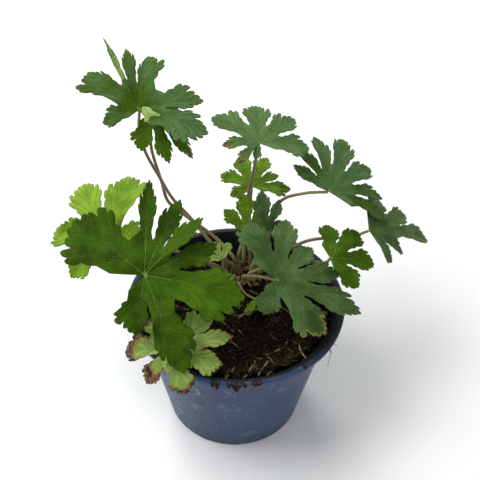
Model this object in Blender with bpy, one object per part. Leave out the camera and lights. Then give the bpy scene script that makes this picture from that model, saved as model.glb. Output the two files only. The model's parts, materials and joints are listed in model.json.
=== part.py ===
"""A hardy geranium in its plastic plant pot.

Metres, +Z up. The origin is the centre of the pot's base, which stands on z = 0. The plant leans
the way it grew: -Y is the side it is looked at from, +X is to the right.
"""

import math

import bmesh
import bpy
from mathutils import Matrix, Vector, noise
from mathutils.geometry import delaunay_2d_cdt

MM = 0.001

# Pot, a thin moulded shell turned about Z
POT_HEIGHT = 88 * MM
POT_RIM_RADIUS = 65 * MM
POT_FOOT_RADIUS = 41.5 * MM
POT_NECK_RADIUS = 58.5 * MM
POT_NECK_HEIGHT = 83.5 * MM
POT_WALL = 1.5 * MM
POT_FLOOR = 3.2 * MM
RIM_FLANGE = 5 * MM
RIM_DROP = 3 * MM
RIM_ROUND = 0.9 * MM
RIM_LIP = 1.2 * MM
FOOT_RING = 6 * MM
FOOT_ROUND = 1 * MM
CENTRE_PAD_RADIUS = 22 * MM
CHANNEL_RISE = 1.5 * MM
DRAIN_HOLES = 8
DRAIN_RADIUS = 3.5 * MM
DRAIN_RING_RADIUS = 29.5 * MM
TURN_STEPS = 56

# Soil, one plug inside the pot
FIT_GAP = 0.3 * MM
SOIL_LEVEL = 76 * MM
SOIL_MOUND = 3 * MM
SOIL_MOUND_REACH = 22 * MM
SOIL_RELIEF = 1.6 * MM
CLOD_SIZE = 9 * MM
SOIL_RINGS = 8
SOIL_EDGE_ROUND = 2 * MM
HOLE_TOP = 30 * MM
ROOT_DEPTH = 9 * MM
HOLE_SIDES = 10

# Crown, the woody stub that the leaf stalks rise around
CROWN = Vector((1, 31, 0)) * MM
CROWN_RADIUS = 3.6 * MM
CROWN_TOP = 10 * MM
CROWN_DEPTH = 12 * MM
CROWN_SIDES = 10
CROWN_LEVELS = 7
CROWN_SWELL = 0.25
CROWN_TIP = 0.6
CROWN_LUMPS = 0.08
CROWN_HOLE = 1.35

# Each piece's colour, roughness and metallic
POT_LOOK = ((0.048, 0.072, 0.133), 0.42, 0.0)
SOIL_LOOK = ((0.017, 0.012, 0.008), 0.95, 0.0)
CROWN_LOOK = ((0.16, 0.085, 0.045), 0.8, 0.0)
LEAF_LOOK = ((0.055, 0.13, 0.03), 0.55, 0.0)
DULL_LEAF_LOOK = ((0.10, 0.18, 0.08), 0.6, 0.0)
OLD_LEAF_LOOK = ((0.26, 0.33, 0.10), 0.65, 0.0)
YOUNG_LEAF_LOOK = ((0.22, 0.36, 0.10), 0.55, 0.0)
LEAF_LOOKS = {
    "leaf_top_left_under": DULL_LEAF_LOOK,
    "leaf_top_centre": DULL_LEAF_LOOK,
    "leaf_front_right": DULL_LEAF_LOOK,
    "leaf_old_rim": OLD_LEAF_LOOK,
    "leaf_young_front": YOUNG_LEAF_LOOK,
    "leaf_young_left": YOUNG_LEAF_LOOK,
    "leaf_centre_young": YOUNG_LEAF_LOOK,
    "leaf_centre_edge": YOUNG_LEAF_LOOK,
}

# Leaves: a stalk and a palmate blade each
BLADE_THICKNESS = 0.7 * MM
STALK_FOOT_RADIUS = 1.25 * MM
STALK_TOP_RADIUS = 0.85 * MM
YOUNG_STALK = 0.7
STALK_SIDES = 6
STALK_SEAT = 5 * MM
STALK_UPRIGHT = (-ROOT_DEPTH, 3 * MM, 9 * MM)

# A lobe beside a leaf's open gap is rounded at its base: its half angle there, the share of the
# gap that it may take, and its edge as shares of its reach
OPEN_HALF_ANGLE = math.radians(36)
OPEN_SHARE = 0.42
OPEN_BASE = [(0.10, 0.08), (0.28, 0.22)]

# A lobe is widest most of the way along it, and keeps inside its own sector of the blade. Its
# halves fold up about a rounded crease.
WIDEST_HALF_ANGLE = math.radians(28.5)
SECTOR_FILL = 0.94
WIDEST_ALONG = 0.70
CREASE = 1.5 * MM
TWISTED_BY = 0.7

# One side of a lobe from its sinus to its tip: along the lobe as a share of its reach, and across
# it as a share of its half width. Tooth tips and the nicks between them take turns. A leaf's lobes
# lie between the broad kind, with shallow nicks, and the cut kind.
BROAD_SIDE = [
    (0.44, 0.56),
    (0.53, 0.74),
    (0.58, 0.74),
    (0.69, 0.97),
    (0.80, 0.86),
    (0.80, 0.64),
    (0.89, 0.57),
    (0.90, 0.38),
    (1.00, 0.14),
]
CUT_SIDE = [
    (0.44, 0.56),
    (0.54, 0.74),
    (0.58, 0.73),
    (0.69, 0.97),
    (0.80, 0.82),
    (0.70, 0.44),
    (0.86, 0.55),
    (0.88, 0.36),
    (1.00, 0.16),
]
YOUNG_SIDE = [(0.45, 0.60), (0.76, 0.94), (0.78, 0.70), (0.97, 0.45)]
LOBE_INSIDE = [(0.30, 0.0), (0.52, 0.0), (0.74, 0.0), (0.90, 0.0), (0.60, 0.5), (0.60, -0.5)]
YOUNG_INSIDE = [(0.40, 0.0), (0.75, 0.0)]
SECTOR_SPLIT = 0.5


def lobe(heading, reach, lift=14, curl=-34, fold=12, twist=0, wide=1.0):
    """One lobe: heading in degrees anticlockwise from the blade's own +X, reach in mm, then in
    degrees how its base lifts, how much it curls by the tip, how far its halves fold up and how
    far it twists."""
    turn = math.radians(heading)
    return {
        "heading": turn,
        "axis": Vector((math.cos(turn), math.sin(turn))),
        "side": Vector((-math.sin(turn), math.cos(turn))),
        "reach": reach * MM,
        "lift": math.radians(lift),
        "curl": math.radians(curl),
        "fold": math.radians(fold),
        "twist": math.radians(twist),
        "wide": wide,
    }


def leaf(junction, facing, stalk, lobes, cut=0.38, cleft=0.4, young=False):
    """One leaf: where its stalk meets the blade, the way the blade faces, where the stalk leaves the
    soil and the points it then passes (all mm), its lobes anticlockwise, how much of each lobe is
    left joined to the next, how deeply the lobes are cut, and whether it is young, with a thin
    stalk and few teeth."""
    up = Vector(facing).normalized()
    right = (Vector((1, 0, 0)) - up * up.x).normalized()
    frame = Matrix((right, up.cross(right), up)).transposed()
    return {
        "junction": Vector(junction) * MM,
        "frame": frame,
        "root": Vector((*stalk[0], 0)) * MM,
        "stalk": [Vector(p) * MM for p in stalk[1:]],
        "lobes": lobes,
        "cut": cut,
        "cleft": cleft,
        "young": young,
    }


LEAVES = {
    "leaf_top_left": leaf(
        (-58, 52, 188),
        (-0.15, -0.25, 0.95),
        [
            *[(-6, 36), (-17, 44, 94), (-30, 51, 108), (-41, 55, 120)],
            *[(-49, 56, 137), (-56, 57, 153), (-59, 56, 170)],
        ],
        [
            lobe(-20, 43, lift=6),
            lobe(14, 38, lift=6, wide=0.85),
            lobe(88, 43, wide=0.85),
            lobe(104, 53),
            lobe(117, 47, lift=34, curl=-10, fold=64),
            lobe(134, 50, lift=13, wide=1.2),
            lobe(190, 23, lift=6),
        ],
        cleft=0.7,
    ),
    "leaf_top_left_under": leaf(
        (-51, 58, 182),
        (0.1, -0.25, 0.95),
        [
            *[(-2, 39), (-14, 50, 92), (-32, 58, 102), (-44, 60, 113)],
            *[(-48, 61, 129), (-53, 63, 150), (-53, 61, 166)],
        ],
        [
            lobe(-102, 24, lift=-8),
            lobe(-66, 32, lift=-4),
            lobe(-42, 36, lift=0, wide=1.2),
            lobe(-21, 31, lift=0),
            lobe(0, 24, lift=0),
            lobe(38, 20, lift=0),
        ],
        cleft=0.6,
    ),
    "leaf_front_left": leaf(
        (-51, -23, 130),
        (0.0, -0.55, 0.83),
        [(-6, 26), (-16, 20, 98), (-32, 4, 115), (-48, -14, 122)],
        [
            lobe(-96, 34, lift=6, wide=1.1),
            lobe(-66, 59, lift=8, wide=0.62),
            lobe(-10, 58, lift=10),
            lobe(27, 45, lift=12, wide=1.15),
            lobe(45, 46, lift=26, wide=1.5),
            lobe(68, 49, wide=1.3),
            lobe(90, 57, wide=0.25),
            lobe(143, 54, lift=10, wide=1.15),
        ],
        cleft=0.4,
    ),
    "leaf_left_behind": leaf(
        (-79, 19, 114),
        (-0.25, -0.25, 0.93),
        [(-11, 28), (-26, 34, 90), (-50, 30, 101), (-74, 20, 108)],
        [
            lobe(16, 28, lift=2),
            lobe(79, 51),
            lobe(112, 53, lift=14, wide=0.8),
            lobe(152, 40, lift=10),
            lobe(218, 29, lift=4),
        ],
        cleft=0.45,
    ),
    "leaf_top_centre": leaf(
        (11, 50, 168),
        (0.08, -0.18, 0.98),
        [(4, 39), (4, 46, 98), (5, 51, 120), (8, 52, 142)],
        [
            lobe(5, 31, lift=10, wide=1.1),
            lobe(47, 32),
            lobe(94, 32),
            lobe(143, 36, lift=10),
            lobe(180, 22, lift=6),
            lobe(222, 17, lift=-10),
            lobe(256, 10, lift=-30, curl=-20),
        ],
        cleft=0.75,
    ),
    "leaf_centre_under": leaf(
        (8, 66, 122),
        (0.0, -0.25, 0.97),
        [(1, 44), (4, 52, 92), (7, 62, 108)],
        [
            lobe(2, 25, lift=10),
            lobe(30, 20),
            lobe(68, 26),
            lobe(112, 25),
            lobe(152, 23, lift=10),
            lobe(204, 15, lift=6),
        ],
        cleft=0.9,
    ),
    "leaf_centre_young": leaf(
        (6, 36, 112),
        (0.0, -0.9, 0.45),
        [(8, 36), (8, 36, 92), (6, 37, 102)],
        [
            lobe(56, 18, lift=16, curl=-20, wide=0.7),
            lobe(98, 24, lift=16, curl=-20, wide=0.7),
            lobe(138, 20, lift=16, curl=-20, wide=0.7),
        ],
        cleft=0.3,
    ),
    "leaf_centre_edge": leaf(
        (16, 30, 116),
        (0.5, -0.8, 0.4),
        [(13, 35), (15, 34, 90), (17, 32, 104)],
        [
            lobe(30, 13, lift=12, curl=-20, wide=0.8),
            lobe(64, 22, lift=12, curl=-20, wide=0.8),
            lobe(98, 27, lift=12, curl=-20, wide=0.8),
        ],
        cleft=0.3,
    ),
    "leaf_right_upper": leaf(
        (53, 39, 142),
        (0.43, -0.05, 0.85),
        [(9, 31), (13, 36, 94), (18, 43, 112), (26, 46, 128), (38, 41, 138), (47, 39, 141)],
        [
            lobe(5, 46, lift=8, wide=0.5),
            lobe(26, 50, lift=10),
            lobe(50, 54),
            lobe(75, 62, wide=0.65),
            lobe(97, 50, wide=0.75),
            lobe(122, 35),
            lobe(157, 26, lift=10, curl=-20),
        ],
        cleft=0.6,
    ),
    "leaf_right_outer": leaf(
        (79, 32, 118),
        (0.6, -0.1, 0.75),
        [(14, 27), (27, 31, 96), (40, 32, 107), (54, 34, 109), (68, 36, 108)],
        [
            lobe(-22, 26, lift=6),
            lobe(6, 36, lift=8),
            lobe(24, 66, wide=0.9),
            lobe(43, 57, lift=12),
            lobe(66, 46, lift=8),
        ],
        cut=0.5,
        cleft=0.4,
    ),
    "leaf_right_small": leaf(
        (54, 5, 120),
        (0.2, -0.25, 0.95),
        [(8, 26), (22, 22, 96), (40, 12, 110), (51, 6, 115)],
        [
            lobe(-42, 24, lift=10),
            lobe(2, 28, lift=12),
            lobe(50, 30, lift=12),
            lobe(88, 26, lift=8, wide=0.8),
        ],
        cleft=0.35,
    ),
    "leaf_front_right": leaf(
        (23, -8, 114),
        (0.1, -0.35, 0.93),
        [(4, 23), (7, 14, 94), (14, 2, 106)],
        [
            lobe(-108, 22, lift=4),
            lobe(-44, 43, lift=8),
            lobe(-18, 53, lift=12),
            lobe(10, 39),
            lobe(47, 32),
            lobe(82, 42),
            lobe(112, 44, lift=8, wide=0.8),
        ],
        cleft=0.45,
    ),
    "leaf_young_front": leaf(
        (12, 1, 88),
        (0.0, -0.4, 0.9),
        [(1, 18), (5, 10, 84)],
        [
            lobe(-120, 9, lift=10, curl=-20),
            lobe(-60, 9, lift=10, curl=-20),
            lobe(10, 9, lift=10, curl=-20),
        ],
        young=True,
    ),
    "leaf_old_rim": leaf(
        (-35, -49, 98),
        (-0.1, -0.3, 0.93),
        [(-2, 23), (-10, 4, 86), (-24, -26, 91)],
        [
            lobe(-134, 25, lift=0, curl=-50, wide=0.7),
            lobe(-72, 27, lift=-4, curl=-50, wide=0.75),
            lobe(-12, 30, lift=0),
            lobe(17, 36, lift=8),
            lobe(44, 31, lift=8),
            lobe(120, 27, lift=6, curl=-30),
            lobe(174, 31, lift=2, curl=-40, wide=0.9),
        ],
        cut=0.55,
        cleft=0.35,
    ),
    "leaf_young_left": leaf(
        (-9, 28, 94),
        (-0.3, -0.3, 0.9),
        [(-7, 31)],
        [
            lobe(70, 12, lift=20, curl=-30),
            lobe(115, 14, lift=20, curl=-30),
            lobe(160, 10, lift=20, curl=-30),
        ],
        young=True,
    ),
}


def sector_edges(plant_leaf):
    """The half angle of each lobe's sector on its right and on its left, and the reach of each
    sinus there. An end lobe has the open basal gap on one side, marked None."""
    lobes = plant_leaf["lobes"]
    gap = math.tau - (lobes[-1]["heading"] - lobes[0]["heading"])
    edges = []
    for index, one in enumerate(lobes):
        sides = []
        for step in (-1, 1):
            beside = index + step
            if 0 <= beside < len(lobes):
                half = abs(lobes[beside]["heading"] - one["heading"]) / 2
                sinus = plant_leaf["cut"] * (lobes[beside]["reach"] + one["reach"]) / 2
            else:
                half = min(OPEN_HALF_ANGLE, gap * OPEN_SHARE)
                sinus = None
            sides.append((half, sinus))
        edges.append(sides)
    return edges


def arc(lift, curl, reach, along):
    """The run and rise of a line of this length that starts at lift and bends by curl over reach."""
    if abs(curl) < 1e-4 or along < 0:
        return along * math.cos(lift), along * math.sin(lift)
    end = lift + curl * along / reach
    rate = reach / curl
    return rate * (math.sin(end) - math.sin(lift)), rate * (math.cos(lift) - math.cos(end))


def bend(one, flat):
    """Where a point of the flat blade goes when this lobe lifts, curls, folds and twists."""
    along = flat.dot(one["axis"])
    across = flat.dot(one["side"])
    run, rise = arc(one["lift"], one["curl"], one["reach"], along)
    share = max(0.0, min(1.0, along / one["reach"]))
    turned = min(1.0, share / TWISTED_BY)
    slope = one["lift"] + one["curl"] * share
    sideways = across * math.cos(one["fold"])
    raised = (math.hypot(across, CREASE) - CREASE) * math.sin(one["fold"])
    turn = one["twist"] * turned * turned * (3 - 2 * turned)
    side = sideways * math.cos(turn) - raised * math.sin(turn)
    rise_across = sideways * math.sin(turn) + raised * math.cos(turn)
    out = run - math.sin(slope) * rise_across
    place = one["axis"] * out + one["side"] * side
    return Vector((place.x, place.y, rise + math.cos(slope) * rise_across))


def shape_point(plant_leaf, edges, index, flat):
    """The place of one flat point of lobe number index, blended with the lobe beside it where the
    two are still joined."""
    lobes = plant_leaf["lobes"]
    one = lobes[index]
    place = bend(one, flat)
    distance = flat.length
    if distance < 1e-9:
        return place
    offset = math.atan2(flat.dot(one["side"]), flat.dot(one["axis"]))
    which = 1 if offset > 0 else 0
    half, sinus = edges[index][which]
    if sinus is None:
        return place
    share = min(1.0, abs(offset) / half)
    past = max(0.0, distance / sinus - 1) / 0.7
    weight = 0.5 * share**3 * max(0.0, 1 - past) ** 2
    beside = lobes[index + (1 if which else -1)]
    return place.lerp(bend(beside, flat), weight)


def lobe_width(half, wide):
    """How fast a lobe's half widens along it: by its own width, but inside its sector."""
    return min(math.tan(WIDEST_HALF_ANGLE) * wide, math.tan(half * SECTOR_FILL))


def lobe_outline(plant_leaf, edges, index):
    """The flat outline of one lobe, from the junction along its right sector edge, round its teeth
    and back down its left sector edge. It gives the points and how many lie on each edge."""
    one = plant_leaf["lobes"][index]
    shares = YOUNG_SIDE
    if not plant_leaf["young"]:
        pairs = zip(BROAD_SIDE, CUT_SIDE)
        shares = [Vector(broad).lerp(Vector(cut), plant_leaf["cleft"]) for broad, cut in pairs]
    points = []
    for which, sign in ((0, -1), (1, 1)):
        half, sinus = edges[index][which]
        width = lobe_width(half, one["wide"]) * WIDEST_ALONG
        if sinus is None:
            narrow = math.tan(half) / math.tan(OPEN_HALF_ANGLE)
            edge = [Vector((along, sign * across * narrow)) * one["reach"] for along, across in OPEN_BASE]
        else:
            turned = Vector((math.cos(half), sign * math.sin(half)))
            edge = [turned * sinus * SECTOR_SPLIT, turned * sinus]
        side = [Vector((along, sign * width * across)) * one["reach"] for along, across in shares]
        points.append((edge, side))
    (right_edge, right_side), (left_edge, left_side) = points
    ring = right_edge + right_side + left_side[::-1] + left_edge[::-1]
    return [one["axis"] * p.x + one["side"] * p.y for p in ring], len(right_edge), len(left_edge)


def blade_mesh(name, plant_leaf):
    """The blade as one waved sheet. Each lobe is split into triangles on its own, and lobes share
    the points of their joined edges."""
    edges = sector_edges(plant_leaf)
    spread = YOUNG_INSIDE if plant_leaf["young"] else LOBE_INSIDE
    mesh = bmesh.new()
    junction = mesh.verts.new((0, 0, 0))
    shared = []
    for index, one in enumerate(plant_leaf["lobes"]):
        ring, right_count, left_count = lobe_outline(plant_leaf, edges, index)
        inside = []
        for along, across in spread:
            half = edges[index][1 if across > 0 else 0][0]
            width = lobe_width(half, one["wide"]) * along
            inside.append(one["axis"] * along * one["reach"] + one["side"] * across * width * one["reach"])
        flat = [Vector((0, 0))] + ring + inside
        loop = list(range(len(ring) + 1))
        done = delaunay_2d_cdt(flat, [], [loop], 1, 1e-7)
        here = {0: junction}
        for number, vert in enumerate(shared, start=1):
            here[number] = vert
        shared = []
        verts = []
        for number, point in enumerate(done[0]):
            first = done[3][number][0] if done[3][number] else None
            if first in here:
                vert = here[first]
            else:
                vert = mesh.verts.new(shape_point(plant_leaf, edges, index, point))
            if first is not None and edges[index][1][1] is not None:
                if len(ring) - left_count < first <= len(ring):
                    shared.append((first, vert))
            verts.append(vert)
        shared = [vert for first, vert in sorted(shared, key=lambda pair: -pair[0])]
        for face in done[2]:
            mesh.faces.new([verts[corner] for corner in face])
    mesh.verts.index_update()
    move = Matrix.Translation(plant_leaf["junction"]) @ plant_leaf["frame"].to_4x4()
    bmesh.ops.transform(mesh, matrix=move, verts=mesh.verts)
    bmesh.ops.recalc_face_normals(mesh, faces=mesh.faces)
    up = plant_leaf["frame"].col[2]
    if sum(f.normal.dot(up) * f.calc_area() for f in mesh.faces) < 0:
        bmesh.ops.reverse_faces(mesh, faces=mesh.faces)
    return to_object(name, mesh)


def to_object(name, mesh):
    data = bpy.data.meshes.new(name)
    mesh.to_mesh(data)
    mesh.free()
    for face in data.polygons:
        face.use_smooth = True
    made = bpy.data.objects.new(name, data)
    bpy.context.scene.collection.objects.link(made)
    return made


def smooth_path(points):
    """Points along a smooth curve through the given ones, two for each span."""
    ends = [points[0] * 2 - points[1]] + points + [points[-1] * 2 - points[-2]]
    spans = len(points) - 1
    steps = 2 * spans
    path = []
    for step in range(steps + 1):
        place = spans * step / steps
        span = min(int(place), spans - 1)
        t = place - span
        a, b, c, d = ends[span : span + 4]
        path.append(
            0.5 * (2 * b + (c - a) * t + (2 * a - 5 * b + 4 * c - d) * t * t + (3 * b - a - 3 * c + d) * t**3)
        )
    return path


def stalk_path(plant_leaf):
    """The stalk's middle line: upright out of the soil, then through its points to the middle of
    the blade."""
    below = plant_leaf["junction"] - plant_leaf["frame"].col[2] * STALK_SEAT
    upright = [plant_leaf["root"] + Vector((0, 0, SOIL_LEVEL + rise)) for rise in STALK_UPRIGHT]
    return smooth_path(upright + plant_leaf["stalk"] + [below, plant_leaf["junction"]])


def tube(name, path, radii, sides):
    """A closed round tube along a path, with flat ends."""
    mesh = bmesh.new()
    rings = []
    across = Vector((1, 0, 0))
    for index, point in enumerate(path):
        ahead = (path[min(index + 1, len(path) - 1)] - path[max(index - 1, 0)]).normalized()
        across = (across - ahead * across.dot(ahead)).normalized()
        other = ahead.cross(across)
        ring = []
        for side in range(sides):
            turn = math.tau * side / sides
            out = across * math.cos(turn) + other * math.sin(turn)
            ring.append(mesh.verts.new(point + out * radii[index]))
        rings.append(ring)
    for low, high in zip(rings, rings[1:]):
        for side in range(sides):
            after = (side + 1) % sides
            mesh.faces.new((low[side], low[after], high[after], high[side]))
    mesh.faces.new(rings[0][::-1])
    mesh.faces.new(rings[-1])
    return to_object(name, mesh)


def stalk_foot(plant_leaf):
    """The stalk's radius where it leaves the soil."""
    return STALK_FOOT_RADIUS * (YOUNG_STALK if plant_leaf["young"] else 1.0)


def make_leaf(name, plant_leaf):
    blade = blade_mesh(name, plant_leaf)
    path = stalk_path(plant_leaf)
    foot = stalk_foot(plant_leaf)
    top = foot * STALK_TOP_RADIUS / STALK_FOOT_RADIUS
    radii = [foot + (top - foot) * index / (len(path) - 1) for index in range(len(path))]
    stalk = tube(name + "_stalk", path, radii, STALK_SIDES)
    hide_helper(stalk)
    thick = blade.modifiers.new("thickness", "SOLIDIFY")
    thick.thickness = BLADE_THICKNESS
    thick.offset = 0
    thick.use_even_offset = False
    join = blade.modifiers.new("stalk", "BOOLEAN")
    join.operation = "UNION"
    join.object = stalk
    join.solver = "EXACT"
    return blade


def lathe(name, profile, steps):
    """A closed solid of revolution about Z. The profile runs from the axis round the section and
    back to the axis."""
    mesh = bmesh.new()
    rings = []
    for radius, height in profile:
        if radius == 0:
            rings.append([mesh.verts.new((0, 0, height))])
            continue
        ring = []
        for step in range(steps):
            turn = math.tau * step / steps
            ring.append(mesh.verts.new((radius * math.cos(turn), radius * math.sin(turn), height)))
        rings.append(ring)
    for low, high in zip(rings, rings[1:]):
        for step in range(steps):
            after = (step + 1) % steps
            corners = [low[step % len(low)], low[after % len(low)]]
            corners += [high[after % len(high)], high[step % len(high)]]
            mesh.faces.new(list(dict.fromkeys(corners)))
    bmesh.ops.recalc_face_normals(mesh, faces=mesh.faces)
    return to_object(name, mesh)


def hide_helper(helper):
    helper.hide_render = True
    helper.display_type = "WIRE"


def cut_with(body, cutters, name):
    """Takes a group of hidden cutters out of a body, live, as one exact Boolean."""
    group = bpy.data.collections.new(name)
    bpy.context.scene.collection.children.link(group)
    for cutter in cutters:
        for owner in list(cutter.users_collection):
            owner.objects.unlink(cutter)
        group.objects.link(cutter)
        hide_helper(cutter)
    cut = body.modifiers.new(name, "BOOLEAN")
    cut.operation = "DIFFERENCE"
    cut.operand_type = "COLLECTION"
    cut.collection = group
    cut.solver = "EXACT"


def wall_radius(height):
    """The pot's outer radius at a height, on the straight taper from foot to neck."""
    return POT_FOOT_RADIUS + (POT_NECK_RADIUS - POT_FOOT_RADIUS) * height / POT_NECK_HEIGHT


def inner_radius(height):
    """The pot's inner radius at a height."""
    return wall_radius(height) - POT_WALL


def pot_profile():
    """The pot's section from the middle of its underside, out and up over the rim, then down the
    inside to the middle of its floor."""
    rim_inside = POT_RIM_RADIUS - RIM_FLANGE
    floor_edge = POT_FLOOR + FOOT_ROUND
    return [
        (0, 0),
        (CENTRE_PAD_RADIUS, 0),
        (CENTRE_PAD_RADIUS + CHANNEL_RISE, CHANNEL_RISE),
        (POT_FOOT_RADIUS - FOOT_RING - CHANNEL_RISE, CHANNEL_RISE),
        (POT_FOOT_RADIUS - FOOT_RING, 0),
        (POT_FOOT_RADIUS - FOOT_ROUND, 0),
        (wall_radius(FOOT_ROUND), FOOT_ROUND),
        (POT_NECK_RADIUS, POT_NECK_HEIGHT),
        (rim_inside + POT_WALL, POT_HEIGHT - RIM_DROP + RIM_ROUND),
        (POT_RIM_RADIUS - RIM_LIP, POT_HEIGHT - RIM_DROP + RIM_ROUND),
        (POT_RIM_RADIUS - RIM_LIP, POT_HEIGHT - RIM_DROP),
        (POT_RIM_RADIUS - RIM_ROUND / 4, POT_HEIGHT - RIM_DROP),
        (POT_RIM_RADIUS, POT_HEIGHT - RIM_ROUND),
        (POT_RIM_RADIUS - RIM_ROUND, POT_HEIGHT),
        (rim_inside + RIM_ROUND, POT_HEIGHT),
        (rim_inside, POT_HEIGHT - RIM_ROUND),
        (inner_radius(POT_NECK_HEIGHT), POT_NECK_HEIGHT),
        (inner_radius(floor_edge), floor_edge),
        (inner_radius(floor_edge) - FOOT_ROUND, POT_FLOOR),
        (0, POT_FLOOR),
    ]


def make_pot():
    pot = lathe("pot", pot_profile(), TURN_STEPS)
    drills = []
    for number in range(DRAIN_HOLES):
        turn = math.tau * (number + 0.5) / DRAIN_HOLES
        centre = Vector((math.cos(turn), math.sin(turn), 0)) * DRAIN_RING_RADIUS
        path = [centre - Vector((0, 0, POT_FLOOR)), centre + Vector((0, 0, 2 * POT_FLOOR))]
        drills.append(tube(f"drain_drill_{number + 1}", path, [DRAIN_RADIUS] * 2, HOLE_SIDES))
    cut_with(pot, drills, "drain_holes")
    return pot


def soil_height(x, y):
    """The soil's surface: a low mound at the crown, clods and hollows, and a level edge."""
    place = Vector((x, y, 0))
    near = (place - CROWN).length / SOIL_MOUND_REACH
    clods = noise.noise(place / CLOD_SIZE) + 0.6 * noise.noise(2 * place / CLOD_SIZE + Vector((7, 3, 1)))
    return SOIL_LEVEL + SOIL_MOUND * math.exp(-near * near) + SOIL_RELIEF * clods


def make_soil():
    """The soil's plug: the pot's inside less a small gap, with a relief on top and a plain hole for
    the crown and for each stalk."""
    bottom = POT_FLOOR + FIT_GAP
    low = bottom + SOIL_EDGE_ROUND
    high = SOIL_LEVEL - SOIL_EDGE_ROUND
    edge = inner_radius(high) - FIT_GAP
    foot = inner_radius(low) - FIT_GAP
    profile = [(0, bottom), (foot - SOIL_EDGE_ROUND, bottom), (foot, low), (edge, high)]
    for ring in range(SOIL_RINGS, 0, -1):
        profile.append((edge * ring / SOIL_RINGS - FIT_GAP, SOIL_LEVEL))
    profile.append((0, SOIL_LEVEL))
    soil = lathe("soil", profile, TURN_STEPS)
    for vert in soil.data.vertices:
        if vert.co.z > SOIL_LEVEL - FIT_GAP:
            vert.co.z = soil_height(vert.co.x, vert.co.y)
    drills = [round_drill("crown_drill", CROWN, CROWN_RADIUS * CROWN_HOLE, CROWN_DEPTH + FIT_GAP)]
    for name, plant_leaf in LEAVES.items():
        radius = stalk_foot(plant_leaf) + 2 * FIT_GAP
        drills.append(round_drill(name + "_drill", plant_leaf["root"], radius, ROOT_DEPTH + FIT_GAP))
    cut_with(soil, drills, "stalk_holes")
    return soil


def round_drill(name, place, radius, depth):
    """An upright drill down to a depth below the soil's level."""
    low = Vector((place.x, place.y, SOIL_LEVEL - depth))
    high = Vector((place.x, place.y, SOIL_LEVEL + HOLE_TOP))
    return tube(name, [low, high], [radius / math.cos(math.pi / HOLE_SIDES)] * 2, HOLE_SIDES)


def make_crown():
    """The crown: a short knobbly stub with the dry scales of old stalks round its top."""
    low = SOIL_LEVEL - CROWN_DEPTH
    high = SOIL_LEVEL + CROWN_TOP
    mesh = bmesh.new()
    rings = []
    for level in range(CROWN_LEVELS):
        share = level / (CROWN_LEVELS - 1)
        height = low + (high - low) * share
        swell = CROWN_TIP if level == CROWN_LEVELS - 1 else 1 + CROWN_SWELL * math.sin(share * 9)
        barrel = (1 + math.sin(math.pi * (0.15 + 0.7 * share))) / 2
        ring = []
        for side in range(CROWN_SIDES):
            turn = math.tau * side / CROWN_SIDES
            lump = 1 + CROWN_LUMPS * math.sin(3 * turn + 5 * share)
            radius = CROWN_RADIUS * swell * lump * barrel
            out = Vector((math.cos(turn), math.sin(turn), 0)) * radius
            ring.append(mesh.verts.new((CROWN.x + out.x, CROWN.y + out.y, height)))
        rings.append(ring)
    for lower, upper in zip(rings, rings[1:]):
        for side in range(CROWN_SIDES):
            after = (side + 1) % CROWN_SIDES
            mesh.faces.new((lower[side], lower[after], upper[after], upper[side]))
    mesh.faces.new(rings[0][::-1])
    mesh.faces.new(rings[-1])
    return to_object("crown", mesh)


def paint(made, look):
    """Gives a piece its own plain material."""
    colour, roughness, metallic = look
    material = bpy.data.materials.new(made.name)
    material.use_nodes = True
    shader = material.node_tree.nodes["Principled BSDF"]
    shader.inputs["Base Color"].default_value = (*colour, 1)
    shader.inputs["Roughness"].default_value = roughness
    shader.inputs["Metallic"].default_value = metallic
    made.data.materials.append(material)


def main():
    for old in list(bpy.data.objects):
        bpy.data.objects.remove(old)
    paint(make_pot(), POT_LOOK)
    paint(make_soil(), SOIL_LOOK)
    paint(make_crown(), CROWN_LOOK)
    for name, plant_leaf in LEAVES.items():
        paint(make_leaf(name, plant_leaf), LEAF_LOOKS.get(name, LEAF_LOOK))


if __name__ == "__main__":
    main()
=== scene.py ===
# %% [markdown]
# # A hardy geranium in its plant pot
#
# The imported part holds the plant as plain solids: a thin plastic pot, a plug of soil, the woody
# crown and one solid for each leaf. This lesson dresses them. Each leaf solid is replaced by a fine
# blade with teeth, veins and a pale underside, and by a hairy stalk. All sizes are in metres.

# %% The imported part
import json
import math

import bmesh
import bpy
import numpy as np
from mathutils import Matrix, Vector, noise
from mathutils.geometry import delaunay_2d_cdt


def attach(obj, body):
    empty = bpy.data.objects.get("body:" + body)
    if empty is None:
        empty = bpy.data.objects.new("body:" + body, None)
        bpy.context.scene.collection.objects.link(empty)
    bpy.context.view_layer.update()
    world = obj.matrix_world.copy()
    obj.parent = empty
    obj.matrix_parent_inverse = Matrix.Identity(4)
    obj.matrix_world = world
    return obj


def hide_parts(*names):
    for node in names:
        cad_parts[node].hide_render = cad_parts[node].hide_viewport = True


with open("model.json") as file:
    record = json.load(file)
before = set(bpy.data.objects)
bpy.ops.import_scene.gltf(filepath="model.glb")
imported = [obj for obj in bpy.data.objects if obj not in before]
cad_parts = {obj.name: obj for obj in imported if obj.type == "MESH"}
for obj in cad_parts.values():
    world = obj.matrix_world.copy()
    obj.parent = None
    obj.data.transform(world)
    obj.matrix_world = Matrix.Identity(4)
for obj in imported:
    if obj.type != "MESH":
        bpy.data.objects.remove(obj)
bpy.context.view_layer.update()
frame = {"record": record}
MM = 0.001

# %% [markdown]
# The plant was seen from above its front, about 0.67 m away, through a slightly long lens. A
# camera is placed first, by its height above the pot's foot and its distance in front, so that
# every later look is judged from the same spot.

# %% Camera
CAMERA_PLACE = Vector((0, -415.3, 521.1)) * MM
CAMERA_TURN = math.radians(-0.18)
CAMERA_DOWN = math.radians(42.76)
CAMERA_ROLL = math.radians(1.53)
LENS_MM = 75

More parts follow.
